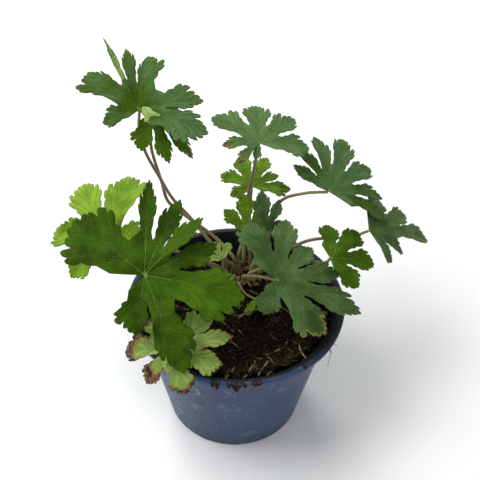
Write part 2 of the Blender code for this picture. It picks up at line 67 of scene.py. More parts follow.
camera = bpy.data.objects.new("camera", bpy.data.cameras.new("camera"))
bpy.context.scene.collection.objects.link(camera)
bpy.context.scene.camera = camera
camera.data.lens = LENS_MM
camera.data.clip_start = 10 * MM
turned = Matrix.Rotation(CAMERA_TURN, 4, "Z") @ Matrix.Rotation(math.pi / 2 - CAMERA_DOWN, 4, "X")
camera.matrix_world = Matrix.Translation(CAMERA_PLACE) @ turned @ Matrix.Rotation(CAMERA_ROLL, 4, "Z")
print("camera looks down by", round(math.degrees(CAMERA_DOWN)), "degrees")

# %% [markdown]
# The plant stood in soft daylight on white. Large area lights give soft shadows: a bright one from
# the upper left, a weaker one from the right, and one from behind that shines through the blades.
# The world is white, and so is the floor, so both fall away behind the plant.

# %% Lights and floor
LIGHTS = {
    "key": ((-0.8, -0.05, 1.45), 0.95, 20),
    "fill": ((1.2, -0.9, 0.9), 1.2, 5),
    "back": ((-0.5, 1.3, 0.9), 0.7, 9),
}
AIM = Vector((0, 0, 0.11))


def add_object(name, data):
    """Adds an object to the scene."""
    made = bpy.data.objects.new(name, data)
    bpy.context.scene.collection.objects.link(made)
    return made


def mesh_object(name, mesh):
    """Turns a finished bmesh into an object."""
    data = bpy.data.meshes.new(name)
    mesh.to_mesh(data)
    mesh.free()
    return add_object(name, data)


for name, (place, size, power) in LIGHTS.items():
    light = bpy.data.lights.new(name, "AREA")
    light.size = size
    light.energy = power
    lamp = add_object(name, light)
    lamp.location = place
    lamp.rotation_euler = (AIM - lamp.location).to_track_quat("-Z", "Y").to_euler()

world = bpy.data.worlds.new("daylight")
bpy.context.scene.world = world
world.use_nodes = True
sky = world.node_tree.nodes["Background"].inputs
sky["Color"].default_value = (0.96, 0.98, 1.0, 1)
sky["Strength"].default_value = 0.40
bpy.context.scene.view_settings.view_transform = "Standard"

sheet = bmesh.new()
bmesh.ops.create_grid(sheet, x_segments=1, y_segments=1, size=4)
floor = mesh_object("floor", sheet)
print("lights:", len(LIGHTS))

# %% [markdown]
# Most of what follows is built from nodes, both for shapes and for finishes. A node that is added
# by hand takes four lines, so one small helper adds a node, sets it and links what it is given.

# %% Node helpers
def link_node(tree, kind, inputs=(), **settings):
    """Adds one node. inputs pairs a socket's name or number with a value, another socket, or
    another node, which stands for its first output."""
    made = tree.nodes.new(kind)
    for key, value in settings.items():
        setattr(made, key, value)
    for socket, value in dict(inputs).items():
        if isinstance(value, bpy.types.Node):
            value = value.outputs[0]
        if isinstance(value, bpy.types.NodeSocket):
            tree.links.new(value, made.inputs[socket])
        else:
            made.inputs[socket].default_value = value
    return made


def new_tree(name, kind, inputs, outputs):
    """An empty node group, the sockets that it is given and the sockets that it gives out."""
    tree = bpy.data.node_groups.new(name, kind)
    for label, socket in inputs.items():
        tree.interface.new_socket(label, in_out="INPUT", socket_type="NodeSocket" + socket)
    for label, socket in outputs.items():
        tree.interface.new_socket(label, in_out="OUTPUT", socket_type="NodeSocket" + socket)
    return tree, tree.nodes.new("NodeGroupInput").outputs, tree.nodes.new("NodeGroupOutput").inputs


def colour(red, green, blue):
    """A colour given as it looks on a screen, 0 to 255, as the linear values that nodes take."""
    parts = (red, green, blue)
    return [((part / 255 + 0.055) / 1.055) ** 2.4 if part > 10 else part / 3294 for part in parts] + [1]


def combined(tree, operation, first, second):
    """The output of a node that puts two values together."""
    return link_node(tree, "ShaderNodeMath", {0: first, 1: second}, operation=operation).outputs[0]


def scaled(tree, value, by):
    """The output of a node that multiplies two values."""
    return combined(tree, "MULTIPLY", value, by)


def mixed(tree, factor, first, second, blend="MIX"):
    """The output of a node that mixes two colours."""
    inputs = {0: factor, 6: first, 7: second}
    return link_node(tree, "ShaderNodeMix", inputs, data_type="RGBA", blend_type=blend).outputs[2]


def ranged(tree, value, low, high, start=0.0, end=1.0):
    """The output of a node that maps low..high smoothly onto start..end."""
    inputs = {"Value": value, "From Min": low, "From Max": high, "To Min": start, "To Max": end}
    return link_node(tree, "ShaderNodeMapRange", inputs, interpolation_type="SMOOTHSTEP").outputs[0]


def new_material(name, roughness, **constants):
    """A material with a Principled BSDF; what is the same all over is set on its own sockets."""
    material = bpy.data.materials.new(name)
    material.use_nodes = True
    shader = material.node_tree.nodes["Principled BSDF"]
    shader.inputs["Roughness"].default_value = roughness
    for key, value in constants.items():
        shader.inputs[key.replace("_", " ")].default_value = value
    return material, material.node_tree, shader


def paint(tree, shader, tone, height=None, relief=0.0):
    """Links a colour to a finish and a height to its bump, which sinks where relief is under 0."""
    tree.links.new(tone, shader.inputs["Base Color"])
    if height is not None:
        bump = link_node(tree, "ShaderNodeBump", {"Height": height, "Distance": abs(relief)})
        bump.invert = relief < 0
        tree.links.new(bump.outputs["Normal"], shader.inputs["Normal"])


floor_material, _, floor_shader = new_material("floor_white", 0.9)
floor_shader.inputs["Base Color"].default_value = (0.93, 0.93, 0.93, 1)
floor.data.materials.append(floor_material)
print("floor painted", floor_material.name)

# %% [markdown]
# Speckle, grain and dust come back in several finishes. Each is one node group with named inputs,
# so a finish only says how large and how strong its own is. Patterns read Object coordinates,
# which are metres on every piece here.

# %% Shared finishes
def object_place(tree, size):
    """The texture inputs that read Object coordinates at a size in metres."""
    place = link_node(tree, "ShaderNodeTexCoord").outputs["Object"]
    return {"Vector": place, "Scale": combined(tree, "DIVIDE", 1.0, size)}


def make_mottle():
    """Soft patches from 0 to 1 at a size in metres."""
    inputs = {"Size": "Float", "Detail": "Float"}
    tree, given, out = new_tree("Mottle", "ShaderNodeTree", inputs, {"Mask": "Float"})
    where = object_place(tree, given["Size"])
    cloud = link_node(tree, "ShaderNodeTexNoise", {**where, "Detail": given["Detail"]})
    tree.links.new(ranged(tree, cloud, 0.32, 0.68), out["Mask"])
    return tree


def make_specks():
    """Small round specks, 1 on a speck and 0 off it, on a share of the cells of a given size."""
    inputs = {"Size": "Float", "Share": "Float"}
    tree, given, out = new_tree("Specks", "ShaderNodeTree", inputs, {"Mask": "Float"})
    cells = link_node(tree, "ShaderNodeTexVoronoi", object_place(tree, given["Size"]))
    parts = link_node(tree, "ShaderNodeSeparateColor", {"Color": cells.outputs["Color"]})
    chosen = combined(tree, "LESS_THAN", parts.outputs[0], given["Share"])
    width = scaled(tree, parts.outputs[1], 0.35)
    near = combined(tree, "LESS_THAN", cells.outputs["Distance"], width)
    tree.links.new(scaled(tree, chosen, near), out["Mask"])
    return tree


MOTTLE = make_mottle()
SPECKS = make_specks()


def placed_group(tree, group, **values):
    """Places a node group in a material with its own values, and gives its first output."""
    made = tree.nodes.new("ShaderNodeGroup")
    made.node_tree = group
    for key, value in values.items():
        made.inputs[key].default_value = value
    return made.outputs[0]


# %% [markdown]
# A hardy geranium's blade is palmate: five to eight wedge-shaped lobes spread from the top of the
# stalk, each cut near its end into three smaller lobes with blunt teeth. The joined part between
# two lobes ends at a sinus. A leaf is described the way it is read on the plant: where stalk and
# blade meet, which way the blade faces, and each lobe's heading, reach and bends.

# %% Leaves, lobe by lobe
def lobe(heading, reach, lift=14, curl=-34, fold=12, twist=0, wide=1.0):
    """One lobe: heading in degrees anticlockwise from the blade's own +X, reach in mm, then in
    degrees how its base lifts, how much it curls by the tip, how far its halves fold up and how
    far it twists."""
    turn = math.radians(heading)
    return {
        "heading": turn,
        "axis": Vector((math.cos(turn), math.sin(turn))),
        "side": Vector((-math.sin(turn), math.cos(turn))),
        "reach": reach * MM,
        "lift": math.radians(lift),
        "curl": math.radians(curl),
        "fold": math.radians(fold),
        "twist": math.radians(twist),
        "wide": wide,
    }


def leaf(junction, facing, stalk, lobes, cut=0.38, cleft=0.4, young=False):
    """One leaf: where its stalk meets the blade, the way the blade faces, where the stalk leaves the
    soil and the points it then passes (all mm), its lobes anticlockwise, how much of each lobe is
    left joined to the next, how deeply the lobes are cut, and whether it is young, with a thin
    stalk and few teeth."""
    up = Vector(facing).normalized()
    right = (Vector((1, 0, 0)) - up * up.x).normalized()
    turned_to = Matrix((right, up.cross(right), up)).transposed()
    return {
        "junction": Vector(junction) * MM,
        "frame": turned_to,
        "root": Vector((*stalk[0], 0)) * MM,
        "stalk": [Vector(p) * MM for p in stalk[1:]],
        "lobes": lobes,
        "cut": cut,
        "cleft": cleft,
        "young": young,
    }


LEAVES = {
    "leaf_top_left": leaf(
        (-58, 52, 188),
        (-0.15, -0.25, 0.95),
        [
            (-6, 36), (-17, 44, 94), (-30, 51, 108), (-41, 55, 120), (-49, 56, 137), (-56, 57, 153),
            (-59, 56, 170),
        ],
        [
            lobe(-20, 43, lift=6), lobe(14, 38, lift=6, wide=0.85), lobe(88, 43, wide=0.85),
            lobe(104, 53), lobe(117, 47, lift=34, curl=-10, fold=64), lobe(134, 50, lift=13, wide=1.2),
            lobe(190, 23, lift=6),
        ],
        cleft=0.7,
    ),
    "leaf_top_left_under": leaf(
        (-51, 58, 182),
        (0.1, -0.25, 0.95),
        [
            (-2, 39), (-14, 50, 92), (-32, 58, 102), (-44, 60, 113), (-48, 61, 129), (-53, 63, 150),
            (-53, 61, 166),
        ],
        [
            lobe(-102, 24, lift=-8), lobe(-66, 32, lift=-4), lobe(-42, 36, lift=0, wide=1.2),
            lobe(-21, 31, lift=0), lobe(0, 24, lift=0), lobe(38, 20, lift=0),
        ],
        cleft=0.6,
    ),
    "leaf_front_left": leaf(
        (-51, -23, 130),
        (0.0, -0.55, 0.83),
        [(-6, 26), (-16, 20, 98), (-32, 4, 115), (-48, -14, 122)],
        [
            lobe(-96, 34, lift=6, wide=1.1), lobe(-66, 59, lift=8, wide=0.62), lobe(-10, 58, lift=10),
            lobe(27, 45, lift=12, wide=1.15), lobe(45, 46, lift=26, wide=1.5), lobe(68, 49, wide=1.3),
            lobe(90, 57, wide=0.25), lobe(143, 54, lift=10, wide=1.15),
        ],
        cleft=0.4,
    ),
    "leaf_left_behind": leaf(
        (-79, 19, 114),
        (-0.25, -0.25, 0.93),
        [(-11, 28), (-26, 34, 90), (-50, 30, 101), (-74, 20, 108)],
        [
            lobe(16, 28, lift=2), lobe(79, 51), lobe(112, 53, lift=14, wide=0.8),
            lobe(152, 40, lift=10), lobe(218, 29, lift=4),
        ],
        cleft=0.45,
    ),
    "leaf_top_centre": leaf(
        (11, 50, 168),
        (0.08, -0.18, 0.98),
        [(4, 39), (4, 46, 98), (5, 51, 120), (8, 52, 142)],
        [
            lobe(5, 31, lift=10, wide=1.1), lobe(47, 32), lobe(94, 32), lobe(143, 36, lift=10),
            lobe(180, 22, lift=6), lobe(222, 17, lift=-10), lobe(256, 10, lift=-30, curl=-20),
        ],
        cleft=0.75,
    ),
    "leaf_centre_under": leaf(
        (8, 66, 122),
        (0.0, -0.25, 0.97),
        [(1, 44), (4, 52, 92), (7, 62, 108)],
        [
            lobe(2, 25, lift=10), lobe(30, 20), lobe(68, 26), lobe(112, 25), lobe(152, 23, lift=10),
            lobe(204, 15, lift=6),
        ],
        cleft=0.9,
    ),
    "leaf_centre_young": leaf(
        (6, 36, 112),
        (0.0, -0.9, 0.45),
        [(8, 36), (8, 36, 92), (6, 37, 102)],
        [
            lobe(56, 18, lift=16, curl=-20, wide=0.7), lobe(98, 24, lift=16, curl=-20, wide=0.7),
            lobe(138, 20, lift=16, curl=-20, wide=0.7),
        ],
        cleft=0.3,
    ),
    "leaf_centre_edge": leaf(
        (16, 30, 116),
        (0.5, -0.8, 0.4),
        [(13, 35), (15, 34, 90), (17, 32, 104)],
        [
            lobe(30, 13, lift=12, curl=-20, wide=0.8), lobe(64, 22, lift=12, curl=-20, wide=0.8),
            lobe(98, 27, lift=12, curl=-20, wide=0.8),
        ],
        cleft=0.3,
    ),
    "leaf_right_upper": leaf(
        (53, 39, 142),
        (0.43, -0.05, 0.85),
        [(9, 31), (13, 36, 94), (18, 43, 112), (26, 46, 128), (38, 41, 138), (47, 39, 141)],
        [
            lobe(5, 46, lift=8, wide=0.5), lobe(26, 50, lift=10), lobe(50, 54), lobe(75, 62, wide=0.65),
            lobe(97, 50, wide=0.75), lobe(122, 35), lobe(157, 26, lift=10, curl=-20),
        ],
        cleft=0.6,
    ),
    "leaf_right_outer": leaf(
        (79, 32, 118),
        (0.6, -0.1, 0.75),
        [(14, 27), (27, 31, 96), (40, 32, 107), (54, 34, 109), (68, 36, 108)],
        [
            lobe(-22, 26, lift=6), lobe(6, 36, lift=8), lobe(24, 66, wide=0.9), lobe(43, 57, lift=12),
            lobe(66, 46, lift=8),
        ],
        cut=0.5,
        cleft=0.4,
    ),
    "leaf_right_small": leaf(
        (54, 5, 120),
        (0.2, -0.25, 0.95),
        [(8, 26), (22, 22, 96), (40, 12, 110), (51, 6, 115)],
        [
            lobe(-42, 24, lift=10), lobe(2, 28, lift=12), lobe(50, 30, lift=12),
            lobe(88, 26, lift=8, wide=0.8),
        ],
        cleft=0.35,
    ),
    "leaf_front_right": leaf(
        (23, -8, 114),
        (0.1, -0.35, 0.93),
        [(4, 23), (7, 14, 94), (14, 2, 106)],
        [
            lobe(-108, 22, lift=4), lobe(-44, 43, lift=8), lobe(-18, 53, lift=12), lobe(10, 39),
            lobe(47, 32), lobe(82, 42), lobe(112, 44, lift=8, wide=0.8),
        ],
        cleft=0.45,
    ),
    "leaf_young_front": leaf(
        (12, 1, 88),
        (0.0, -0.4, 0.9),
        [(1, 18), (5, 10, 84)],
        [
            lobe(-120, 9, lift=10, curl=-20), lobe(-60, 9, lift=10, curl=-20),
            lobe(10, 9, lift=10, curl=-20),
        ],
        young=True,
    ),
    "leaf_old_rim": leaf(
        (-35, -49, 98),
        (-0.1, -0.3, 0.93),
        [(-2, 23), (-10, 4, 86), (-24, -26, 91)],
        [
            lobe(-134, 25, lift=0, curl=-50, wide=0.7), lobe(-72, 27, lift=-4, curl=-50, wide=0.75),
            lobe(-12, 30, lift=0), lobe(17, 36, lift=8), lobe(44, 31, lift=8),
            lobe(120, 27, lift=6, curl=-30), lobe(174, 31, lift=2, curl=-40, wide=0.9),
        ],
        cut=0.55,
        cleft=0.35,
    ),
    "leaf_young_left": leaf(
        (-9, 28, 94),
        (-0.3, -0.3, 0.9),
        [(-7, 31)],
        [
            lobe(70, 12, lift=20, curl=-30), lobe(115, 14, lift=20, curl=-30),
            lobe(160, 10, lift=20, curl=-30),
        ],
        young=True,
    ),
}


print("leaves:", len(LEAVES), "lobes:", sum(len(one["lobes"]) for one in LEAVES.values()))

# %% [markdown]
# Each lobe bends like a strip of card: it lifts off the junction, curls down towards its tip and
# folds up along its midrib. Where two lobes are still joined, the bends of both are blended, so
# that the blade stays one sheet.

# %% Bending a lobe
OPEN_HALF_ANGLE = math.radians(36)
OPEN_SHARE = 0.42
OPEN_BASE = [(0.10, 0.08), (0.28, 0.22)]
WIDEST_HALF_ANGLE = math.radians(28.5)
SECTOR_FILL = 0.94
WIDEST_ALONG = 0.70
CREASE = 1.5 * MM
TWISTED_BY = 0.7
JOINED_PAST = 0.7


def clamp(value):
    """A value kept between 0 and 1."""
    return max(0.0, min(1.0, value))


def sector_edges(plant_leaf):
    """The half angle of each lobe's sector on its right and on its left, and the reach of each
    sinus there. An end lobe has the open basal gap on one side, marked None."""
    lobes = plant_leaf["lobes"]
    gap = math.tau - (lobes[-1]["heading"] - lobes[0]["heading"])
    edges = []
    for index, one in enumerate(lobes):
        sides = []
        for step in (-1, 1):
            beside = index + step
            if 0 <= beside < len(lobes):
                half = abs(lobes[beside]["heading"] - one["heading"]) / 2
                sinus = plant_leaf["cut"] * (lobes[beside]["reach"] + one["reach"]) / 2
            else:
                half = min(OPEN_HALF_ANGLE, gap * OPEN_SHARE)
                sinus = None
            sides.append((half, sinus))
        edges.append(sides)
    return edges


def arc(lift, curl, reach, along):
    """The run and rise of a line of this length that starts at lift and bends by curl over reach."""
    if abs(curl) < 1e-4 or along < 0:
        return along * math.cos(lift), along * math.sin(lift)
    end = lift + curl * along / reach
    rate = reach / curl
    return rate * (math.sin(end) - math.sin(lift)), rate * (math.cos(lift) - math.cos(end))


def bend(one, flat):
    """Where a point of the flat blade goes when this lobe lifts, curls, folds and twists."""
    along = flat.dot(one["axis"])
    across = flat.dot(one["side"])
    run, rise = arc(one["lift"], one["curl"], one["reach"], along)
    share = clamp(along / one["reach"])
    turned = clamp(share / TWISTED_BY)
    slope = one["lift"] + one["curl"] * share
    sideways = across * math.cos(one["fold"])
    raised = (math.hypot(across, CREASE) - CREASE) * math.sin(one["fold"])
    turn = one["twist"] * turned * turned * (3 - 2 * turned)
    side = sideways * math.cos(turn) - raised * math.sin(turn)
    rise_across = sideways * math.sin(turn) + raised * math.cos(turn)
    out = run - math.sin(slope) * rise_across
    place = one["axis"] * out + one["side"] * side
    return Vector((place.x, place.y, rise + math.cos(slope) * rise_across))


def shape_point(plant_leaf, edges, index, flat):
    """The place of one flat point of lobe number index, blended with the lobe beside it where the
    two are still joined."""
    lobes = plant_leaf["lobes"]
    one = lobes[index]
    place = bend(one, flat)
    distance = flat.length
    if distance < 1e-9:
        return place
    offset = math.atan2(flat.dot(one["side"]), flat.dot(one["axis"]))
    which = 1 if offset > 0 else 0
    half, sinus = edges[index][which]
    if sinus is None:
        return place
    share = clamp(abs(offset) / half)
    past = max(0.0, distance / sinus - 1) / JOINED_PAST
    weight = 0.5 * share**3 * max(0.0, 1 - past) ** 2
    beside = lobes[index + (1 if which else -1)]
    return place.lerp(bend(beside, flat), weight)


def lobe_width(half, wide):
    """How fast a lobe's half widens along it: by its own width, but inside its sector."""
    return min(math.tan(WIDEST_HALF_ANGLE) * wide, math.tan(half * SECTOR_FILL))


tip = bend(lobe(0, 50), Vector((50, 0)) * MM)
print("the tip of a 50 mm lobe ends at", [round(part / MM) for part in tip], "mm")

# %% [markdown]
# The outline of one lobe is a wedge with blunt teeth. A spline through every point would round the
# nicks as well, so the side is kept as runs from nick to nick, and each run is smoothed by itself.
# The points are spaced evenly, because long thin triangles would show in the blade's shading.

# %% The outline of a lobe
BROAD_RUNS = [
    [(0.44, 0.54), (0.51, 0.72), (0.575, 0.73)],
    [(0.575, 0.73), (0.61, 0.88), (0.67, 0.975), (0.705, 0.955), (0.715, 0.85)],
    [(0.715, 0.85), (0.77, 0.91), (0.82, 0.85), (0.835, 0.74), (0.82, 0.65)],
    [(0.82, 0.65), (0.865, 0.64), (0.90, 0.57), (0.912, 0.48), (0.905, 0.40)],
    [(0.905, 0.40), (0.94, 0.37), (0.965, 0.29), (0.97, 0.22), (0.96, 0.17)],
    [(0.96, 0.17), (0.985, 0.13), (1.0, 0.06), (1.0, 0.0)],
]
CUT_RUNS = [
    [(0.44, 0.54), (0.51, 0.70), (0.565, 0.69)],
    [(0.565, 0.69), (0.60, 0.84), (0.66, 0.96), (0.70, 0.94), (0.70, 0.81)],
    [(0.70, 0.81), (0.76, 0.90), (0.81, 0.84), (0.81, 0.70), (0.70, 0.44)],
    [(0.70, 0.44), (0.79, 0.53), (0.85, 0.55), (0.88, 0.48), (0.86, 0.36)],
    [(0.86, 0.36), (0.91, 0.37), (0.95, 0.30), (0.955, 0.21), (0.935, 0.16)],
    [(0.935, 0.16), (0.975, 0.13), (1.0, 0.05), (1.0, 0.0)],
]
YOUNG_RUNS = [
    [(0.45, 0.55), (0.62, 0.86), (0.74, 0.98), (0.78, 0.70)],
    [(0.78, 0.70), (0.92, 0.55), (0.99, 0.2), (1.0, 0.0)],
]
SIDE_VEINS = [
    ((0.22, 0.0), (0.38, 0.24), (0.50, 0.60)),
    ((0.32, 0.0), (0.47, 0.34), (0.62, 0.84)),
    ((0.40, 0.0), (0.56, 0.34), (0.74, 0.80)),
    ((0.56, 0.0), (0.70, 0.20), (0.84, 0.48)),
    ((0.70, 0.0), (0.81, 0.12), (0.92, 0.32)),
]
YOUNG_VEINS = [((0.40, 0.0), (0.56, 0.3), (0.72, 0.78))]
FINE_STEP = 1.15 * MM
LEAST_STEPS = 26
TOOTH_JITTER = 0.022
TOOTH_SPREAD = 2.5
MIDRIB_END = 0.96
SIDE_VEIN_SHARE = 0.55


def fine_step(one):
    """How far apart the points of a lobe's outline and veins lie."""
    return min(FINE_STEP, one["reach"] / LEAST_STEPS)


def smooth_run(points, spacing):
    """Evenly spaced points along a smooth curve through the given ones, without the last."""
    ends = [points[0] * 2 - points[1], *points, points[-1] * 2 - points[-2]]
    run = []
    for a, b, c, d in zip(ends, ends[1:], ends[2:], ends[3:]):
        steps = max(1, round((c - b).length / spacing))
        for step in range(steps):
            t = step / steps
            squared = (2 * a - 5 * b + 4 * c - d) * t * t
            run.append(0.5 * (2 * b + (c - a) * t + squared + (3 * b - a - 3 * c + d) * t**3))
    return run


def jitter(seed, along, across):
    """A small steady shift for one tooth point, so that no two teeth are alike."""
    place = Vector((seed * 3.7 + along * 9, across * 7, seed * 1.3))
    spread = noise.noise(place + Vector((9, 4, 2))) * TOOTH_SPREAD * TOOTH_JITTER
    return noise.noise(place) * TOOTH_JITTER, spread


def blended_runs(cleft):
    """The runs of a lobe's side, between the broad kind at 0 and the cut kind at 1."""
    runs = []
    for broad_run, cut_run in zip(BROAD_RUNS, CUT_RUNS):
        runs.append([Vector(broad).lerp(Vector(cut), cleft) for broad, cut in zip(broad_run, cut_run)])
    return runs


def lobe_ring(plant_leaf, edges, index, seed):
    """The flat outline of one lobe in its own directions, along and across, starting at the
    junction, and which of its points lie on the free margin and not on another lobe's edge."""
    one = plant_leaf["lobes"][index]
    reach = one["reach"]
    step = fine_step(one)
    halves = []
    for which, sign in ((0, -1), (1, 1)):
        half, sinus = edges[index][which]
        width = lobe_width(half, one["wide"]) * WIDEST_ALONG
        if sinus is None:
            narrow = math.tan(half) / math.tan(OPEN_HALF_ANGLE)
            base = [Vector((along, sign * across * narrow)) * reach for along, across in OPEN_BASE]
            edge = smooth_run([Vector((0, 0)), *base], step)[1:]
            corner = base[-1]
        else:
            corner = Vector((math.cos(half), sign * math.sin(half))) * sinus
            count = max(2, round(sinus / step))
            edge = [corner * number / count for number in range(1, count)]
        side = []
        for run in YOUNG_RUNS if plant_leaf["young"] else blended_runs(plant_leaf["cleft"]):
            points = []
            for along, across in run:
                shift, spread = jitter(seed + sign, along, across)
                free = min(1.0, across * 4)
                sideways = sign * width * (across + spread * free)
                points.append(Vector((along + shift * free, sideways)) * reach)
            side += smooth_run(points, step)
        lead = smooth_run([corner, side[0]], step)
        halves.append((edge, lead + side))
    (right_edge, right_side), (left_edge, left_side) = halves
    tip = [Vector((reach, 0))]
    ring = [Vector((0, 0)), *right_edge, *right_side, *tip, *left_side[::-1], *left_edge[::-1]]
    right_free, left_free = (sinus is None for _, sinus in edges[index])
    margin = [right_free] * (1 + len(right_edge)) + [True] * (len(right_side) + 1 + len(left_side))
    margin += [left_free] * len(left_edge)
    return ring, margin


def lobe_veins(plant_leaf, edges, index):
    """The veins of one lobe as runs of flat points: the midrib first, then its side veins."""
    one = plant_leaf["lobes"][index]
    reach = one["reach"]
    step = fine_step(one)
    count = round(MIDRIB_END * reach / step)
    midrib = [Vector((reach * MIDRIB_END * number / count, 0)) for number in range(count + 1)]
    runs = [(midrib, 1.0)]
    for start, middle, end in YOUNG_VEINS if plant_leaf["young"] else SIDE_VEINS:
        for which, sign in ((0, -1), (1, 1)):
            half = edges[index][which][0]
            width = lobe_width(half, one["wide"]) * WIDEST_ALONG
            first = midrib[round(start[0] / MIDRIB_END * count)]
            rest = [Vector((along, sign * width * across)) * reach for along, across in (middle, end)]
            runs.append((smooth_run([first, *rest], step) + [rest[-1]], SIDE_VEIN_SHARE))
    return runs


print("points on one side of a lobe:", sum(len(run) for run in BROAD_RUNS))

# %% [markdown]
# The blade is cut into small triangles with the veins as fixed lines. At each point the distance
# to the nearest vein and to the margin is stored. The finish reads both, which keeps the veins
# thin and exact without an image. The same distances sink the veins and raise the skin between.

# %% The blade's mesh
VEIN_WIDTH = 0.17 * MM
QUILT_HEIGHT = 0.24 * MM
QUILT_REACH = 1.4 * MM
WAVE_HEIGHT = 1.0 * MM
WAVE_SIZE = 11 * MM
RUFFLE_HEIGHT = 0.35 * MM
RUFFLE_SIZE = 4.5 * MM
BLADE_FINE = 0.38 * MM
LINE_GAP = 0.02 * MM
ROW_SHARE = 0.87
CLEAR_SHARE = 0.55
VEIN_TAPER = 0.35
USUAL_REACH = 50 * MM
RUFFLE_FADE = 4 * MM

# How fresh and how sunlit each lobe's green is, with painted sunlight and shade: deep and shaded at 0, fresh
# and sunlit at 1. Above that it shows the blade's pale back
FRESH_AND_SUNLIT = {
    "leaf_top_left": {"all": -0.1, 0: 1.0, 1: 0.7, 2: 0.3, 4: 1.5, 5: -0.3},
    "leaf_top_left_under": {"all": 0.8, 0: 1.0},
    "leaf_front_left": {"all": 0.05, 2: 0.5, 3: 0.15, 4: 0.9, 6: -0.2, 7: 0.1},
    "leaf_left_behind": {"all": 0.3, 1: 0.45, 2: 0.75, 4: 0.4},
    "leaf_top_centre": {"all": 0.5, 1: 0.3, 2: 0.7},
    "leaf_centre_under": {"all": 0.4, 3: 0.5},
    "leaf_centre_young": {"all": 0.4},
    "leaf_centre_edge": {"all": 0.5},
    "leaf_right_upper": {"all": 0.6, 0: -0.1, 1: 0.3, 2: 0.8, 3: 0.8, 5: 0.0, 6: -0.1},
    "leaf_right_outer": {"all": 0.35, 2: 0.6, 3: 0.6, 4: 0.9},
    "leaf_right_small": {"all": 0.3},
    "leaf_front_right": {"all": 0.25, 4: 0.45, 5: 0.5},
    "leaf_old_rim": {"all": 0.5},
    "turned_lobe": {"all": 1.5},
}
# How far back from its tip a lobe has died, as a share of its reach
DRY = {
    "leaf_top_left_under": {2: 0.05},
    "leaf_top_centre": {4: 0.16, 5: 0.12},
    "leaf_right_outer": {2: 0.03, 3: 0.03},
    "leaf_front_right": {1: 0.02},
    "leaf_old_rim": {0: 0.40, 1: 0.16, 2: 0.03, 3: -0.04, 5: 0.2, 6: 0.34},
}
DRY_FADE = 0.12
DRY_CLOUD = 0.10
DRY_EDGE = 1.2 * MM
DRY_EDGE_SHARE = 0.2
FRESH_AND_SUNLIT_CLOUD = 0.18
FRESH_AND_SUNLIT_FROM = 0.25
FRESH_AND_SUNLIT_OVER = 0.2
CLOUD_SIZES = (8 * MM, 2.5 * MM)
SEEDS_PER_LEAF = 11
STORED = ("vein", "vein_gap", "margin", "along", "lobe", "dry", "fresh_and_lit")


def segment_distance(points, starts, ends, widths=None):
    """The distance from each point to the nearest segment, each divided by the segment's width."""
    along = ends - starts
    length = np.maximum((along**2).sum(1), 1e-18)
    best = np.full(len(points), 1e9)
    for number in range(len(starts)):
        t = np.clip(((points - starts[number]) @ along[number]) / length[number], 0, 1)
        near = points - (starts[number] + t[:, None] * along[number])
        gap = np.hypot(near[:, 0], near[:, 1])
        if widths is not None:
            gap = gap / widths[number]
        best = np.minimum(best, gap)
    return best


def inside_ring(points, ring):
    """Which points lie inside a closed flat outline."""
    inside = np.zeros(len(points), bool)
    x, y = points[:, 0], points[:, 1]
    for (x0, y0), (x1, y1) in zip(ring, np.roll(ring, -1, axis=0)):
        crosses = (y0 > y) != (y1 > y)
        with np.errstate(divide="ignore", invalid="ignore"):
            inside ^= crosses & (x < (x1 - x0) * (y - y0) / (y1 - y0) + x0)
    return inside


def fill_points(ring, lines, step):
    """An even scatter of points inside the outline, kept off the outline and off the veins."""
    low, high = ring.min(0), ring.max(0)
    rows = []
    for number, y in enumerate(np.arange(low[1], high[1], step * ROW_SHARE)):
        x = np.arange(low[0] + (number % 2) * step / 2, high[0], step)
        rows.append(np.column_stack([x, np.full(len(x), y)]))
    points = np.concatenate(rows)
    points = points[inside_ring(points, ring)]
    starts = np.concatenate([ring, *[line[:-1] for line in lines]])
    ends = np.concatenate([np.roll(ring, -1, axis=0), *[line[1:] for line in lines]])
    return points[segment_distance(points, starts, ends) > CLEAR_SHARE * step]


def middle_points(done, starts, ends):
    """The middles of edges that join two of the given lines. Both ends of such an edge are on a
    line, so without a point between them the whole edge would look like one."""
    points = np.array([list(point) for point in done[0]])
    on_line = segment_distance(points, starts, ends) < LINE_GAP
    pairs = np.array(done[1])
    pairs = pairs[on_line[pairs].all(axis=1)]
    middles = (points[pairs[:, 0]] + points[pairs[:, 1]]) / 2
    return middles[segment_distance(middles, starts, ends) > LINE_GAP]


